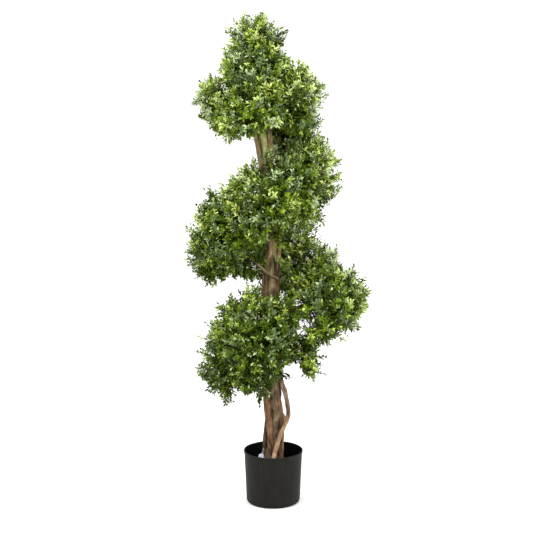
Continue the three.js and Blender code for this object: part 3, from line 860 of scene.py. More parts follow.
def inner_sprigs(node, rng):
    """Sprigs inside a mass, which show between the outer ones."""
    tree = mass_trees[node]
    places, normals = spread_over(*triangles_of(node), INNER_SPACING, rng)
    depth = rng.uniform(*INNER_DEPTH, len(places))
    tip = places - normals * depth[:, None]
    deep = np.array([
        is_inside(tree, p) and distance_to(tree, p) > 0.6 * d and clear_of_stems(p)
        for p, d in zip(map(Vector, tip), depth)
    ])
    tip, normals = tip[deep], normals[deep]
    axis = unit(INNER_NORMAL_SHARE * normals + rng.normal(0, INNER_LOOSENESS, tip.shape))
    length = rng.uniform(*INNER_LENGTH, len(tip))
    kind, lift = np.full(len(tip), 2), np.full(len(tip), INNER_LIFT)
    dense = ~within_any(tip, THIN_PLACES)
    sprigs = (tip - axis * length[:, None], tip, kind, normals, tip, lift)
    return [values[dense] for values in sprigs]


def place_sprigs(node, rng):
    """A mass's sprigs: bases, tips, kind (0 outer, 1 covered, 2 inner), the way that each faces, the heart of
    its bunch, and how fresh it is beside the others."""
    groups = (outer_sprigs(node, rng), inner_sprigs(node, rng), *tuft_sprigs(node, rng))
    sprigs = [np.concatenate(values) for values in zip(*groups)]
    sprigs[1] = np.clip(sprigs[1], np.array(cad_box[0]) - OVERHANG, np.array(cad_box[1]) + OVERHANG)
    return sprigs


def deal_colours(tip, kind, normals, heart, rng):
    """Each sprig's colouring: fresher in fresh patches and towards the head, darker as painted shade where it
    faces down, is covered or lies inside.
    """
    height = height_shares(tip)
    _, bunch = np.unique(np.round(heart, 6), axis=0, return_inverse=True)
    bunch = bunch.reshape(-1)
    chance = rng.normal(0, 1, (2, bunch.max() + 1))[:, bunch]
    fresh_level = FRESH_LEVEL - FRESH_FALL * height
    fresh = fresh_field(heart) + 0.5 * chance[0] + rng.normal(0, 0.25, len(tip)) > fresh_level
    grey_level = np.interp(height, *GREY_LEVELS)
    grey = grey_field(heart) + 0.2 * chance[1] + rng.normal(0, 0.5, len(tip)) > grey_level
    under = -normals[:, 2] + rng.normal(0, 0.25, len(tip)) > UNDER_LEVEL
    # Covered and inner sprigs and those that face down get the colourings of painted shade
    place = np.where((kind > 0) | under, 2, np.where(fresh, 0, 1))
    chances = np.array([c[2] for c in COLOURINGS]).T
    chances = chances / chances.sum(axis=1, keepdims=True)
    drawn = rng.random(len(tip))
    dealt = (drawn[:, None] > np.cumsum(chances[place], axis=1)).sum(axis=1)
    dealt = np.minimum(dealt, len(COLOURINGS) - 1)
    swap = grey & (place == 1)
    dealt[swap] = rng.choice([i for i, c in enumerate(COLOURINGS) if c[0] == "grey"], swap.sum())
    return dealt


def leaf_tones(dealt, sprig, place, lift, rng):
    """Each leaf's tone, from its sprig's colouring and lift and from its place along the sprig."""
    lower, upper = (np.array([TONE_NAMES.index(c[i]) for c in COLOURINGS])[dealt[sprig]] for i in (0, 1))
    freshness = np.clip((place - rng.uniform(0.25, 0.6, len(lift))[sprig]) / 0.3, 0, 1)
    green = lower < GREEN_TONES
    share = np.where(green | (lift[sprig] < 0), 1.0, GREY_SHARE)
    tone = lower + (upper - lower) * freshness + share * lift[sprig] + rng.normal(0, TONE_SPREAD, len(place))
    tone = np.round(tone).astype(int)
    return np.where(green, np.clip(tone, 0, GREEN_TONES - 1), np.clip(tone, GREEN_TONES, len(TONE_NAMES) - 1))


def make_leaves(name, node, base, tip, kind, normals, heart, lift, rng):
    """A mass's leaves, as one piece. Returns the control points of the stems that carry them."""
    stems = sprig_stems(base, tip, rng)
    points, sprig, place = sprig_leaves(stems, np.linalg.norm(tip - base, axis=1), rng)
    shown = ~within_any(points.mean(axis=1), SKY_HOLES)
    points, sprig, place = points[shown], sprig[shown], place[shown]
    dealt = deal_colours(tip, kind, normals, heart, rng)
    # Lifts by height and by place: partly fresher colour, partly painted light and shade
    lift = lift + HEIGHT_LIGHT_LIFT * (height_shares(tip) - HEIGHT_LEVEL) + placed_light_and_tone(heart)
    tone = leaf_tones(dealt, sprig, place, lift, rng)
    # Painted sheen: a few outer leaves are pale grey as if catching the light
    painted_sheen = (kind[sprig] == 0) & (rng.random(len(sprig)) < SHEEN_SHARE)
    tone[painted_sheen] = TONE_NAMES.index("pale_grey")
    inner = kind[sprig] == 2
    starts = np.arange(len(sprig)) * len(LEAF_POINTS)
    faces, slots = [], []
    for chosen, leaf in ((~inner, LEAF_FACES), (inner, INNER_LEAF_FACES)):
        faces.append((leaf[None] + starts[chosen, None, None]).reshape(-1, 3))
        slots.append(np.repeat(tone[chosen], len(leaf)))
    points, faces = packed(points.reshape(-1, 3), np.concatenate(faces))
    piece = new_piece(name, points, faces, list(LEAF_TONES.values()), np.concatenate(slots))
    register(piece, "leaves", node)
    return stems


# ---------------------------------------------------------------- limbs of a mass


def branches(entry_for, base, rng):
    """Control points of the sub-boughs and of the twigs on them, and the twig's end that each sprig grows
    from, with the sprig's number."""
    cluster, middles = clusters(base, round(len(base) / CLUSTER_SIZE), rng)
    limbs, twigs, grown = [], [], []
    for k, middle in enumerate(middles):
        mine = np.flatnonzero(cluster == k)
        if len(mine) == 0:
            continue
        start, heading = entry_for(middle)
        fork = start + (middle - start) * FORK_SHARE
        reach = np.linalg.norm(fork - start)
        bend = start + heading * reach * 0.45
        limbs.append((start, bend, fork - unit(middle - start) * reach * 0.3, fork))
        twig, ends = clusters(base[mine], math.ceil(len(mine) / TWIG_SIZE), rng)
        for j, end in enumerate(ends):
            sprigs = mine[twig == j]
            if len(sprigs) == 0:
                continue
            along = rng.uniform(*TWIG_START)
            foot = bezier(*(p[None] for p in limbs[-1]), 21)[0][int(along * 20)]
            knot = foot + (end - foot) * TWIG_SHARE
            sag = rng.normal(0, TWIG_SAG, 3) * np.linalg.norm(knot - foot)
            twigs.append((foot, foot + (knot - foot) * 0.4 + sag, foot + (knot - foot) * 0.75 + sag, knot))
            grown += [(knot, sprig) for sprig in sprigs]
    return limbs, twigs, grown


def make_twigs(name, node, entry_for, stems, base, rng):
    """A mass's twigs and sprig stems, as one piece. Returns the curves of the sub-boughs that carry them."""
    limbs, twigs, grown = branches(entry_for, base, rng)
    twig_curves = bezier(*(np.array(p) for p in zip(*twigs)), 5)
    knots, order = (np.array(values) for values in zip(*grown))
    sprig_curves = np.concatenate([knots[:, None], bezier(*(p[order] for p in stems), 3)], axis=1)

    parts = []
    for curves, radii, sides, choices in (
        (sprig_curves, SPRIG_RADII, 3, (2, 2, 0)),
        (twig_curves, np.linspace(*TWIG_RADII, 5), 4, (0, 1)),
    ):
        points, triangles = tubes(curves, np.tile(radii, (len(curves), 1)) * MM, sides)
        per_tube = len(triangles) // len(curves)
        slots = np.repeat(rng.choice(choices, len(curves)), per_tube)
        parts.append((points, triangles, slots))
    points, triangles, slots = joined(parts)
    piece = new_piece(name, points, triangles, [TWIG_BROWN, TWIG_DARK, TWIG_GREEN], slots)
    register(piece, "twig_bark", node)
    return bezier(*(np.array(p) for p in zip(*limbs)), 7)


# ---------------------------------------------------------------- bark


def plane_cuts(points, triangles, level):
    """The segments in which a level plane cuts a mesh, as (count, 2, 2)."""
    corners = points[triangles]
    above = corners[:, :, 2] > level
    crossing = corners[above.any(axis=1) & ~above.all(axis=1)]
    segments = []
    for triangle in crossing:
        ends = []
        for i in range(3):
            p, q = triangle[i], triangle[(i + 1) % 3]
            if (p[2] > level) != (q[2] > level):
                share = (level - p[2]) / (q[2] - p[2])
                ends.append(p[:2] + share * (q[:2] - p[:2]))
        segments.append(ends)
    return np.array(segments)


def centre_line(name, earlier):
    """A stem's middle and radius at each level, from circles fitted to what shows of its outline."""
    points, triangles = triangles_of(name)
    low, high = points[:, 2].min(), points[:, 2].max()
    levels = np.arange(low + 1 * MM, high - 1 * MM, SLICE_STEP)
    found = []
    for level in levels:
        segments = plane_cuts(points, triangles, level)
        if len(segments) < 4:
            continue
        steps = np.linspace(0.1, 0.9, 5)[:, None, None]
        samples = (segments[None, :, 0] * (1 - steps) + segments[None, :, 1] * steps).reshape(-1, 2)
        lengths = np.tile(np.linalg.norm(segments[:, 1] - segments[:, 0], axis=1), 5)
        free = np.array([
            all(distance_to(t, Vector((x, y, level))) > OVERLAP for t in earlier) for x, y in samples
        ]) if earlier else np.ones(len(samples), bool)
        if lengths[free].sum() < LEAST_FREE * lengths.sum():
            continue
        p, w = samples[free], np.sqrt(lengths[free])
        rows = np.column_stack([2 * p, np.ones(len(p))]) * w[:, None]
        x, y, k = np.linalg.lstsq(rows, (p**2).sum(axis=1) * w, rcond=None)[0]
        radius = math.sqrt(max(k + x * x + y * y, 0))
        found.append((x, y, level, radius, lengths[free].sum()))
    found = np.array(found)
    least, most = np.array(USUAL_RADII) * np.median(found[:, 3])
    return found[(found[:, 3] > least) & (found[:, 3] < most)]


def smoothed(found, low, high, width=11 * MM):
    """Evenly spaced points and radii along a stem, smoothed over its levels."""
    levels = np.arange(low, high + RING_STEP, RING_STEP)
    reach = (levels[:, None] - found[None, :, 2]) / width
    weights = np.exp(-0.5 * reach**2) * found[None, :, 4] + 1e-9 * np.exp(-np.abs(reach))
    middle = found[:, 2] @ weights.T / weights.sum(axis=1)
    values = []
    for column in (0, 1, 3):
        value = weights @ found[:, column] / weights.sum(axis=1)
        slope = np.gradient(value, levels)
        near_end = np.abs(middle - levels) > 0.2 * width
        values.append(value + np.where(near_end, np.median(slope) * (levels - middle), 0))
    return np.column_stack([values[0], values[1], levels]), values[2]


def wander(rng, lengths, size):
    """A smooth random drift along a limb."""
    total = np.zeros_like(lengths)
    for wavelength in (0.32, 0.17, 0.09):
        total += np.sin(lengths * 2 * math.pi / wavelength + rng.uniform(*ANY_PHASE)) * wavelength / 0.32
    return total * size


def ridges(along, turned, counts, rng):
    """Ridges that swing and fade along a limb, as a height at each of its points."""
    field = np.zeros_like(turned)
    for k in counts:
        swing = rng.uniform(*ANY_PHASE) + wander(rng, along, 1.6)
        ripple = along * 2 * math.pi / rng.uniform(*RIPPLE) + rng.uniform(*ANY_PHASE)
        strength = 1 + 0.5 * np.sin(ripple)
        field += strength[:, None] * np.cos(k * turned + swing[:, None]) / k**0.75
    return field


def cracks_along(along, turned, rng):
    """Cracks that open and close along a limb, as a depth at each of its points."""
    field = np.zeros_like(turned)
    for _ in range(CRACKS):
        where = rng.uniform(*ANY_PHASE) + wander(rng, along, 0.5)
        gap = np.angle(np.exp(1j * (turned - where[:, None])))
        opening = np.sin(along * 2 * math.pi / rng.uniform(*CRACK_LENGTH) + rng.uniform(*ANY_PHASE))
        field += np.clip(opening, 0, 1)[:, None] * np.exp(-((gap / CRACK_WIDTH) ** 2))
    return field


def knots_on(along, turned, radii, count, rng):
    """Swellings and the sunken eyes in their middles, as shares at each point."""
    bumps, eyes = np.zeros_like(turned), np.zeros_like(turned)
    for _ in range(count):
        place, angle = rng.uniform(0, along[-1]), rng.uniform(*ANY_PHASE)
        size = rng.uniform(*KNOT_SIZE) * MM
        gap = np.angle(np.exp(1j * (turned - angle))) * radii[:, None]
        distance2 = (gap**2 + ((along[:, None] - place) / 1.5) ** 2) / size**2
        bumps += np.exp(-distance2)
        eyes += np.exp(-distance2 * 9)
    return bumps, eyes


def bark_limb(path, radii, sides, rng, depth=0.095, knots=3, twist=2.2):
    """A limb with ridges, cracks, gnarls and knots that follow its twist. Returns its points, its triangles,
    and each point's painted shade (darker in cracks and eyes, lighter on ridges and lumps) and streak."""
    along = distances(path)
    tangents = unit(np.gradient(path, axis=0))
    across = unit(np.cross(tangents, np.array([0.0, 1.0, 0.05])))
    over = np.cross(tangents, across)
    angles = turns(sides)
    turned = angles[None, :] + (along * twist)[:, None]
    relief_and_shade = ridges(along, turned, RIDGES, rng) / 2.2
    streak = ridges(along, turned, STREAKS, rng)
    cracks = cracks_along(along, turned, rng)
    bumps, eyes = knots_on(along, turned, radii, knots, rng)

    height = relief_and_shade * depth - cracks * depth * CRACK_DEPTH + bumps * KNOT_HEIGHT - eyes * EYE_DEPTH
    spokes = across[:, None] * np.cos(angles)[None, :, None] + over[:, None] * np.sin(angles)[None, :, None]
    middle = path[:, None] + spokes * radii[:, None, None]
    lumps = gnarl_field(middle) + 0.5 * gnarl_detail(middle)
    rims = radii[:, None] * (1 + height + GNARL_HEIGHT * lumps)
    points = path[:, None] + spokes * rims[..., None]
    # Painted shade and light: darker in the cracks and the knots' eyes, lighter on the ridges and lumps
    shade = np.clip(0.55 + 0.26 * relief_and_shade + 0.13 * lumps - 0.6 * cracks - 0.5 * eyes, 0, 1)
    tone = np.clip(0.5 + 0.2 * streak, 0, 1)

    caps = [path[0], path[-1] + tangents[-1] * radii[-1] * 0.4]
    points = np.concatenate([points.reshape(-1, 3), caps])
    triangles = np.concatenate([ring_faces(len(path), sides), *end_fans(len(path) * sides, len(path), sides)])
    shade = np.concatenate([shade.ravel(), [0.4, 0.4]])
    tone = np.concatenate([tone.ravel(), [0.5, 0.5]])
    return points, triangles, shade, tone


gnarl_field = waves(41, 10, 44 * MM)
gnarl_detail = waves(42, 10, 17 * MM)


def bark_piece(name, limbs, material, slot, nodes, rise=(0.40, 0.75)):
    """One piece from bark limbs, with their painted shade and light, their streaks and their rise towards the
    head as attributes.
    """
    points, triangles, relief_and_shade, streak = joined(limbs)
    piece = new_piece(name, points, triangles, [material])
    risen = np.clip((height_shares(points) - rise[0]) / (rise[1] - rise[0]), 0, 1)
    for label, values in (("relief_and_shade", relief_and_shade), ("streak", streak), ("rise", risen)):
        layer = piece.data.attributes.new(label, "FLOAT", "POINT")
        layer.data.foreach_set("value", values.astype(np.float32))
    return register(piece, slot, *nodes)


# Each stem's bark, slot, sides and knots
STEM_LOOKS = {
    "trunk_main": (BARK_GREY, "grey_bark", 48, 7),
    "trunk_left": (BARK_BROWN, "brown_bark", 34, 5),
    "trunk_right": (BARK_BROWN, "brown_bark", 32, 5),
    # The stem at the back has the darker bark as painted shade
    "trunk_back": (BARK_SHADED, "brown_bark", 28, 2),
}
OUTLINE_SHARE = 1.03  # a facetted outline's fitted circle is this much smaller than its stem
FLARE_SHARE, FLARE_HEIGHT = 0.10, 26 * MM  # at the foot
BEND_REACH = 30 * MM  # how far from the runner's joint its bend reaches
RUNNER_SWELL = 1.3  # how much thicker the runner is above its bend than its solid
RUNNER_SHIFT = 1.5 * MM
SPUR_RADII = (3.6, 2.6)  # mm
SPUR_STEPS = 14

stem_lines = {}


def stem_line(name):
    """A stem's fitted circles, its foot's height and its top's."""
    low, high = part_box(name)
    return centre_line(name, stem_trees[: STEM_NODES.index(name)]), low.z, high.z


def make_stem(name, rng, material, slot, sides, knots):
    """One of the bundled stems, from its foot in the filler to its tip."""
    found, low, high = stem_line(name)
    path, radii = smoothed(found, low, high)
    radii = radii * OUTLINE_SHARE * (1 + FLARE_SHARE * np.exp(-(path[:, 2] - low) / FLARE_HEIGHT))
    stem_lines[name] = (path, radii)
    bark_piece(name + "_bark", [bark_limb(path, radii, sides, rng, knots=knots)], material, slot, [name])


def make_runner(rng):
    """The thin stem in its two parts, and a thin spur down to it from the right-hand stem, below its bend."""
    lower, low, _ = stem_line("runner_lower")
    upper, _, high = stem_line("runner_upper")
    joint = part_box("runner_upper")[0].z
    found = np.concatenate([lower[lower[:, 2] < joint - 4 * MM], upper[upper[:, 2] > joint + 10 * MM]])
    path, radii = smoothed(found, low, high, width=9 * MM)
    radii *= np.interp(path[:, 2], (joint - BEND_REACH, joint + 10 * MM), (1.0, RUNNER_SWELL))
    path[:, 0] -= np.interp(path[:, 2], (joint - BEND_REACH, joint + BEND_REACH), (0, RUNNER_SHIFT))

    trunk_right = stem_lines["trunk_right"][0]
    start = trunk_right[np.abs(trunk_right[:, 2] - joint - 6 * MM).argmin()]
    end = path[np.abs(path[:, 2] - joint + 24 * MM).argmin()]
    bends = (start, start + [14 * MM, -6 * MM, 0], end + [-3 * MM, 4 * MM, 12 * MM], end)
    spur = bezier(*(p[None] for p in bends), SPUR_STEPS)[0]
    limbs = [
        bark_limb(path, radii * OUTLINE_SHARE, 26, rng, depth=0.12, knots=4, twist=5.0),
        bark_limb(spur, np.linspace(*SPUR_RADII, SPUR_STEPS) * MM, 12, rng, knots=1),
    ]
    rise = ((joint - 16 * MM) / cad_box[1][2], (joint + BEND_REACH) / cad_box[1][2])
    bark_piece("runner_bark", limbs, BARK_TAN, "brown_bark", ["runner_lower", "runner_upper"], rise)


for index, (name, looks) in enumerate(STEM_LOOKS.items()):
    make_stem(name, np.random.default_rng(100 + index), *looks)
make_runner(np.random.default_rng(110))


# ---------------------------------------------------------------- boughs and foliage


def bough_line(name, bins=4):
    """A bough's middle line from its stem outwards, from the frame's short solid."""
    points, _ = triangles_of(name)
    middle = points.mean(axis=0)
    axis = np.linalg.svd(points - middle)[2][0]
    trunk = stem_lines["trunk_main"][0]
    share = (points - middle) @ axis
    order = np.argsort(share)
    groups = np.array_split(order, bins)
    line = np.array([points[g].mean(axis=0) for g in groups])
    nearest = [np.linalg.norm(trunk - end, axis=1).min() for end in (line[0], line[-1])]
    if nearest[0] > nearest[1]:
        line = line[::-1]
    radius = np.linalg.norm(points - middle - np.outer(share, axis), axis=1).mean()
    return line, radius


def through(points, steps):
    """A smooth curve through a few points, evenly spaced."""
    points = np.asarray(points)
    before = np.concatenate([[2 * points[0] - points[1]], points, [2 * points[-1] - points[-2]]])
    curve = []
    for i in range(1, len(before) - 2):
        p0, p1, p2, p3 = before[i - 1 : i + 3]
        t = np.linspace(0, 1, 12, endpoint=False)[:, None]
        curve.append(
            0.5 * (2 * p1 + (p2 - p0) * t + (2 * p0 - 5 * p1 + 4 * p2 - p3) * t**2
                   + (3 * p1 - p0 - 3 * p2 + p3) * t**3)
        )
    curve = np.concatenate([*curve, points[-1:]])
    along = distances(curve)
    at = np.linspace(0, along[-1], steps)
    return np.column_stack([np.interp(at, along, curve[:, i]) for i in range(3)])


LIMB_LOOKS = {"mid_left": BARK_GREY}  # the bough that crosses the trunk in plain view; the others, inside the masses, have the darker bark as painted shade
LIMB_STEPS, LIMB_SIDES = 26, 14
LIMB_ROOT = 8 * MM  # how far a limb starts before its solid, inside the stem
INSIDE_STEP = 12  # sub-boughs leave a limb from this step on
SUB_STEPS, SUB_SIDES = 10, 7
SUB_RADII = (2.6 * MM, 1.5 * MM)  # from the limb to the twigs
ENTRY_DROP = 25 * MM  # how far below its sprigs a sub-bough leaves the trunk


def grown_bough(name, middle):
    """A bough that grows on into its mass, and the rule for where a sub-bough leaves it."""
    line, radius = bough_line(name)
    outward = unit(line[-1] - line[-2])
    root = line[0] - unit(line[1] - line[0]) * LIMB_ROOT
    limb = through([root, *line, line[-1] + (middle - line[-1]) * 0.5], LIMB_STEPS)
    inside = limb[INSIDE_STEP:]

    def entry_for(target):
        start = inside[((inside - target) ** 2).sum(axis=1).argmin()]
        return start, unit(unit(target - start) + 0.5 * outward)

    return limb, np.linspace(radius, radius * 0.5, LIMB_STEPS), entry_for


def entry_from_trunk(node):
    """The rule for where a sub-bough leaves the trunk, in a mass that has no bough."""
    trunk = stem_lines["trunk_main"][0]
    inside = trunk[trunk[:, 2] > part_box(node)[0].z + 10 * MM]

    def entry_for(target):
        level = min(target[2] - ENTRY_DROP, inside[-1, 2])
        start = inside[np.abs(inside[:, 2] - level).argmin()]
        return start, unit(unit(target - start) + 0.7 * UP)

    return entry_for


def make_mass(node, rng):
    """A mass's leaves, its twigs, and its bough with the sub-boughs."""
    part = node.removeprefix("foliage_")
    bough = "bough_" + part
    base, *sprigs = place_sprigs(node, rng)
    stems = make_leaves("leaves_" + part, node, base, *sprigs, rng)
    has_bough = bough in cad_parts
    if has_bough:
        limb, radii, entry_for = grown_bough(bough, base.mean(axis=0))
    else:
        entry_for = entry_from_trunk(node)
    sub_limbs = make_twigs("twigs_" + part, node, entry_for, stems, base, rng)
    limbs = [bark_limb(limb, radii, LIMB_SIDES, rng, depth=0.09, knots=1)] if has_bough else []
    radii = np.linspace(*SUB_RADII, SUB_STEPS)
    for curve in sub_limbs:
        limbs.append(bark_limb(through(curve, SUB_STEPS), radii, SUB_SIDES, rng, depth=0.08, knots=0))
    nodes = [bough] if has_bough else [node]
    bark_piece("limbs_" + part, limbs, LIMB_LOOKS.get(part, BARK_SHADED), "twig_bark", nodes)


for seed, node in enumerate(MASS_NODES):
    make_mass(node, np.random.default_rng(500 + seed))


# ---------------------------------------------------------------- pot, filler and film

pot_low, pot_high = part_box("pot")
POT_HEIGHT = pot_high.z - pot_low.z
POT_RIM = (pot_high.x - pot_low.x) / 2
POT_TAPER = 0.918  # the foot's radius beside the rim's
POT_FOOT = POT_RIM * POT_TAPER
POT_CORNER = 9 * MM
POT_FLOOR = 4 * MM  # level of its upper face
POT_WALL = 2.4 * MM
POT_LIP = 1.2 * MM
POT_LIP_HEIGHT = 8 * MM
POT_SEGMENTS = 240
FLUTES, FLUTE_WIDTH, FLUTE_DEPTH = 20, 0.012, 0.004  # round the wall: count, radians, share of the radius
INSIDE_POINTS = 11  # of the section
SHADED_POINTS = 13  # those and the inner half of the rim's crown, painted darker as shade


def arc(centre, radius, start, end, count):
    """Points of a section on an arc, with its angles in degrees."""
    angles = np.radians(np.linspace(start, end, count))
    return [(centre[0] + radius * math.cos(a), centre[1] + radius * math.sin(a)) for a in angles]


def pot_outline():
    """The pot's section from the middle of its underside, up the outside, over the rim and down inside."""

    def wall_at(z):
        return POT_FOOT + (POT_RIM - POT_FOOT) * z / POT_HEIGHT - POT_LIP

    outline = [(1e-5, 2.0 * MM), (POT_FOOT * 0.72, 2.0 * MM), (POT_FOOT * 0.76, 0.0)]
    outline += arc((wall_at(POT_CORNER) - POT_CORNER, POT_CORNER), POT_CORNER, -90, -2, 9)
    lip_foot = POT_HEIGHT - POT_LIP_HEIGHT
    for z in np.linspace(POT_CORNER + 6 * MM, lip_foot - 1 * MM, 8):
        outline.append((wall_at(z), z))
    rim = POT_RIM
    outline += [(wall_at(lip_foot), lip_foot), (rim - 0.5 * MM, lip_foot + 0.7 * MM)]
    outline += [(rim, lip_foot + 1.6 * MM), (rim, POT_HEIGHT - 1.0 * MM)]
    outline += arc((rim - POT_WALL / 2, POT_HEIGHT - POT_WALL / 2), POT_WALL / 2, 0, 180, 7)[1:]
    for z in np.linspace(lip_foot, POT_CORNER, 8):
        outline.append((wall_at(z) - POT_WALL, z))
    outline += [(wall_at(0) - POT_CORNER, POT_FLOOR), (1e-5, POT_FLOOR)]
    return np.array(outline)


def lathe(outline, segments):
    """The grid of points of a turned shape, a ring for each point of its section, and the rings' angles."""
    angles = turns(segments)
    x = outline[:, 0:1] * np.cos(angles)
    y = outline[:, 0:1] * np.sin(angles)
    z = np.repeat(outline[:, 1:2], segments, axis=1)
    return np.stack([x, y, z], axis=-1), angles


def pot_material(name, stops, specular):
    n = Nodes(name, roughness=0.55, specular=specular)
    scuff = n.noise(60, stretch=(1, 1, 0.25), detail=5.0)
    grain = n.noise(1400, detail=2.0)
    colour = n.ramp(scuff, stops)
    n.link(colour, n.shader.inputs["Base Color"])
    n.bump(n.total((grain, 0.6), (scuff, 0.4)), 0.35, 0.3 * MM)
    return n.material


def make_pot():
    """The pot's shell, with faint flutes down its wall and its inside painted darker as shade."""
    grid, angles = lathe(pot_outline(), POT_SEGMENTS)
    flutes = np.exp(-((np.angle(np.exp(1j * FLUTES * angles)) / FLUTES / FLUTE_WIDTH) ** 2))
    level = grid[:, :1, 2]
    shaft = np.clip((level - POT_CORNER) / (6 * MM), 0, 1) * (level < POT_HEIGHT - POT_LIP_HEIGHT)
    outside = np.arange(len(grid))[:, None] < len(grid) - INSIDE_POINTS
    shrink = 1 - FLUTE_DEPTH * flutes[None, :] * shaft * outside
    grid[..., 0] *= shrink
    grid[..., 1] *= shrink
    triangles = ring_faces(len(grid), POT_SEGMENTS)
    slots = (triangles.min(axis=1) // POT_SEGMENTS >= len(grid) - SHADED_POINTS).astype(int)
    outer = pot_material("black_plastic", ((0.3, "11100e"), (0.55, "161512"), (0.8, "1d1c18")), 0.10)
    # The inside is the same black plastic, painted darker as shade
    inner = pot_material("black_plastic_shaded_inside", ((0.3, "050504"), (0.55, "080807"), (0.8, "0d0d0b")), 0.03)
    piece = new_piece("pot_shell", grid.reshape(-1, 3), triangles, [outer, inner], slots)
    return register(piece, "pot", "pot")


def filler_material():
    n = Nodes("set_filler", roughness=0.95, specular=0.2)
    lumps = n.noise(90, detail=6.0)
    specks = n.noise(700, detail=3.0)
    tone = n.total((lumps, 0.6), (specks, 0.4))
    n.link(n.ramp(tone, ((0.32, "2a2723"), (0.5, "45413a"), (0.68, "645e54"))), n.shader.inputs["Base Color"])
    n.bump(tone, 0.8, 1.5 * MM)
    return n.material


FILLER_SIDES = 96
FILLER_GAP = 0.4 * MM  # to the pot's wall
FILLER_DEPTH = 12 * MM  # of what is built of it below its surface
FILLER_SINK = 1.5 * MM
FILLER_WAVES = ((31, 30 * MM, 1.6 * MM), (32, 9 * MM, 0.7 * MM))  # seed, wavelength and height


def make_filler():
    """The filler's rough surface, closed a little below."""
    low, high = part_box("filler")
    radius = (high.x - low.x) / 2 - FILLER_GAP
    shares = np.concatenate([[0.002], np.linspace(0.04, 1, 34)])
    outline = [(radius * s, high.z) for s in shares]
    outline += [(radius - 0.5 * MM, high.z - 10 * MM)]
    outline += [(radius * 0.5, high.z - FILLER_DEPTH), (1e-5, high.z - FILLER_DEPTH)]
    grid, _ = lathe(np.array(outline), FILLER_SIDES)
    top = grid[: len(shares)]
    flat = top.reshape(-1, 3)
    rough = sum(height * waves(seed, 12, wavelength)(flat) for seed, wavelength, height in FILLER_WAVES)
    fade = np.clip((1 - shares) / 0.06, 0, 1)
    top[..., 2] += rough.reshape(top.shape[:2]) * fade[:, None] - FILLER_SINK
    triangles = ring_faces(len(grid), FILLER_SIDES)[:, ::-1]
    piece = new_piece("filler_top", grid.reshape(-1, 3), triangles, [filler_material()])
    return register(piece, "filler", "filler")


def film_material():
    n = Nodes("packing_film", roughness=0.22, specular=0.6)
    crease_and_glint = n.noise(260, detail=4.0)
    # The light streaks are partly the film's own whitish creases, partly painted reflections of clear film
    white = n.ramp(crease_and_glint, ((0.35, "8f909c"), (0.55, "c0c3cf"), (0.75, "eceef5")))
    lilac = n.ramp(crease_and_glint, ((0.35, "4b4347"), (0.55, "837a80"), (0.75, "b5adb4")))
    n.link(n.mix(n.attribute("rise"), white, lilac), n.shader.inputs["Base Color"])
    n.bump(crease_and_glint, 0.6, 1.0 * MM)
    return n.material


FILM_RINGS, FILM_SIDES = 34, 60
TAIL_START, TAIL_BLEND = 0.66, 0.10  # shares of the height
TAIL_WIDTH, TAIL_TAPER = 0.34, 0.1  # shares of the width
FOLD_DEPTH, FINE_FOLD_DEPTH = 0.36, 0.18


def make_film():
    """Crumpled film on the filler: a low closed lump that is drawn up into a narrow folded tail."""
    low, high = (np.array(v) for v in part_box("packing_film"))
    share = np.linspace(0, 1, FILM_RINGS)
    angles = turns(FILM_SIDES)
    middle = (low + high) / 2
    half = (high - low) / 2
    tail = np.clip((share - TAIL_START) / TAIL_BLEND, 0, 1)
    lump = 0.90 + 0.10 * np.sin(math.pi * share / 0.7)
    taper = lump * (1 - tail) + (TAIL_WIDTH - TAIL_TAPER * share) * tail
    folds = 1 - FOLD_DEPTH * np.abs(np.sin(3.5 * angles[None] + 6 * share[:, None])) ** 0.7
    folds *= 1 - FINE_FOLD_DEPTH * np.abs(np.sin(8.5 * angles[None] - 13 * share[:, None]))
    lean = half[0] * (-0.12 + 0.62 * tail * share + 0.10 * np.sin(23 * share) * tail)
    x = middle[0] + lean[:, None] + half[0] * taper[:, None] * folds * np.cos(angles)
    y = middle[1] + half[1] * 0.95 * taper[:, None] * folds * np.sin(angles)
    z = low[2] + (high[2] - low[2]) * (share[:, None] + 0.04 * np.sin(4 * angles + 1) * share[:, None] ** 2)
    points = np.stack([x, y, np.broadcast_to(z, x.shape)], axis=-1).reshape(-1, 3)
    fans = end_fans(len(points), FILM_RINGS, FILM_SIDES)
    triangles = np.concatenate([ring_faces(FILM_RINGS, FILM_SIDES), *fans])
    ends = ((middle[0] + lean[0], middle[1], low[2]), (middle[0] + lean[-1], middle[1], high[2] - 2 * MM))
    points = np.concatenate([points, ends])
    piece = new_piece("film_scrap", points, triangles, [film_material()], smooth=False)
    risen = np.concatenate([np.repeat(tail, FILM_SIDES), [0, 1]])
    piece.data.attributes.new("rise", "FLOAT", "POINT").data.foreach_set("value", risen.astype(np.float32))
    return register(piece, "film", "packing_film")


make_pot()
make_filler()
make_film()


# ---------------------------------------------------------------- stage

FLOOR_RADIUS = 60.0
FLOOR_SIDES = 96
FLOOR_DROP = 0.2 * MM  # below the pot's underside
SKY_LEVEL = 1.02
SKY_OVERHEAD = 1.6  # how much brighter the studio is overhead than round the sides
CAMERA_LENS = 103.38  # mm
CAMERA_PLACE = (-0.0203, -4.4, 1.5563)
CAMERA_TILT = math.radians(79.207)
# Each light's name, place, target, size and watts
LIGHTS = (
    ("key", (-1.9, -2.6, 3.2), (0, 0, 0.75), (1.4, 1.4), 115),
    ("fill", (2.6, -2.4, 1.8), (0, 0, 0.7), (2.0, 2.0), 95),
)


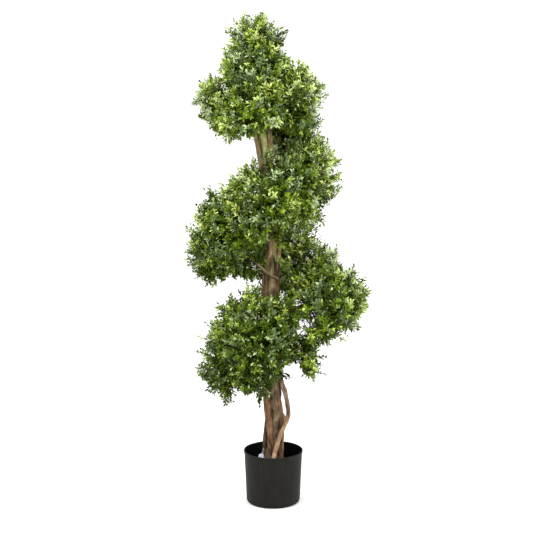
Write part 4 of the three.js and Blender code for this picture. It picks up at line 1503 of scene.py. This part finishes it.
def make_floor():
    angles = turns(FLOOR_SIDES)
    rim = np.column_stack([np.cos(angles), np.sin(angles), np.zeros(FLOOR_SIDES)]) * FLOOR_RADIUS
    points = np.concatenate([[[0, 0, 0]], rim]) - np.array([0, 0, FLOOR_DROP])
    side = np.arange(FLOOR_SIDES)
    triangles = np.stack([np.zeros(FLOOR_SIDES, int), side + 1, (side + 1) % FLOOR_SIDES + 1], axis=1)
    floor = new_piece("floor", points, triangles, [plain("pale_floor", "d7d7d6", 0.9, 0.0)], smooth=False)


def area_light(name, place, target, size, watts):
    data = bpy.data.lights.new(name, "AREA")
    data.shape = "RECTANGLE"
    data.size, data.size_y = size
    data.energy = watts
    lamp = bpy.data.objects.new(name, data)
    lamp.location = place
    lamp.rotation_euler = (Vector(target) - Vector(place)).to_track_quat("-Z", "Y").to_euler()
    bpy.context.scene.collection.objects.link(lamp)


def make_camera():
    """A long lens that looks down on the pot's rim as much as the photograph does."""
    data = bpy.data.cameras.new("camera")
    data.lens = CAMERA_LENS
    data.sensor_width = 36
    data.clip_end = 200
    camera = bpy.data.objects.new("camera", data)
    camera.location = CAMERA_PLACE
    camera.rotation_euler = (CAMERA_TILT, 0, 0)
    bpy.context.scene.collection.objects.link(camera)
    bpy.context.scene.camera = camera


def make_sky():
    """An even white studio that is brighter overhead."""
    world = bpy.data.worlds.new("studio")
    bpy.context.scene.world = world
    world.use_nodes = True
    nodes, links = world.node_tree.nodes, world.node_tree.links
    nodes["Background"].inputs["Color"].default_value = (1, 1, 1, 1)
    direction = nodes.new("ShaderNodeTexCoord").outputs["Generated"]
    split = nodes.new("ShaderNodeSeparateXYZ")
    links.new(direction, split.inputs[0])
    value = split.outputs["Z"]
    steps = (("MAXIMUM", 0.0), ("POWER", 1.5), ("MULTIPLY", SKY_OVERHEAD), ("ADD", SKY_LEVEL))
    for operation, number in steps:
        node = nodes.new("ShaderNodeMath")
        node.operation = operation
        links.new(value, node.inputs[0])
        node.inputs[1].default_value = number
        value = node.outputs[0]
    links.new(value, nodes["Background"].inputs["Strength"])


make_floor()
make_camera()
for light in LIGHTS:
    area_light(*light)
make_sky()

bpy.context.scene.view_settings.view_transform = "Standard"
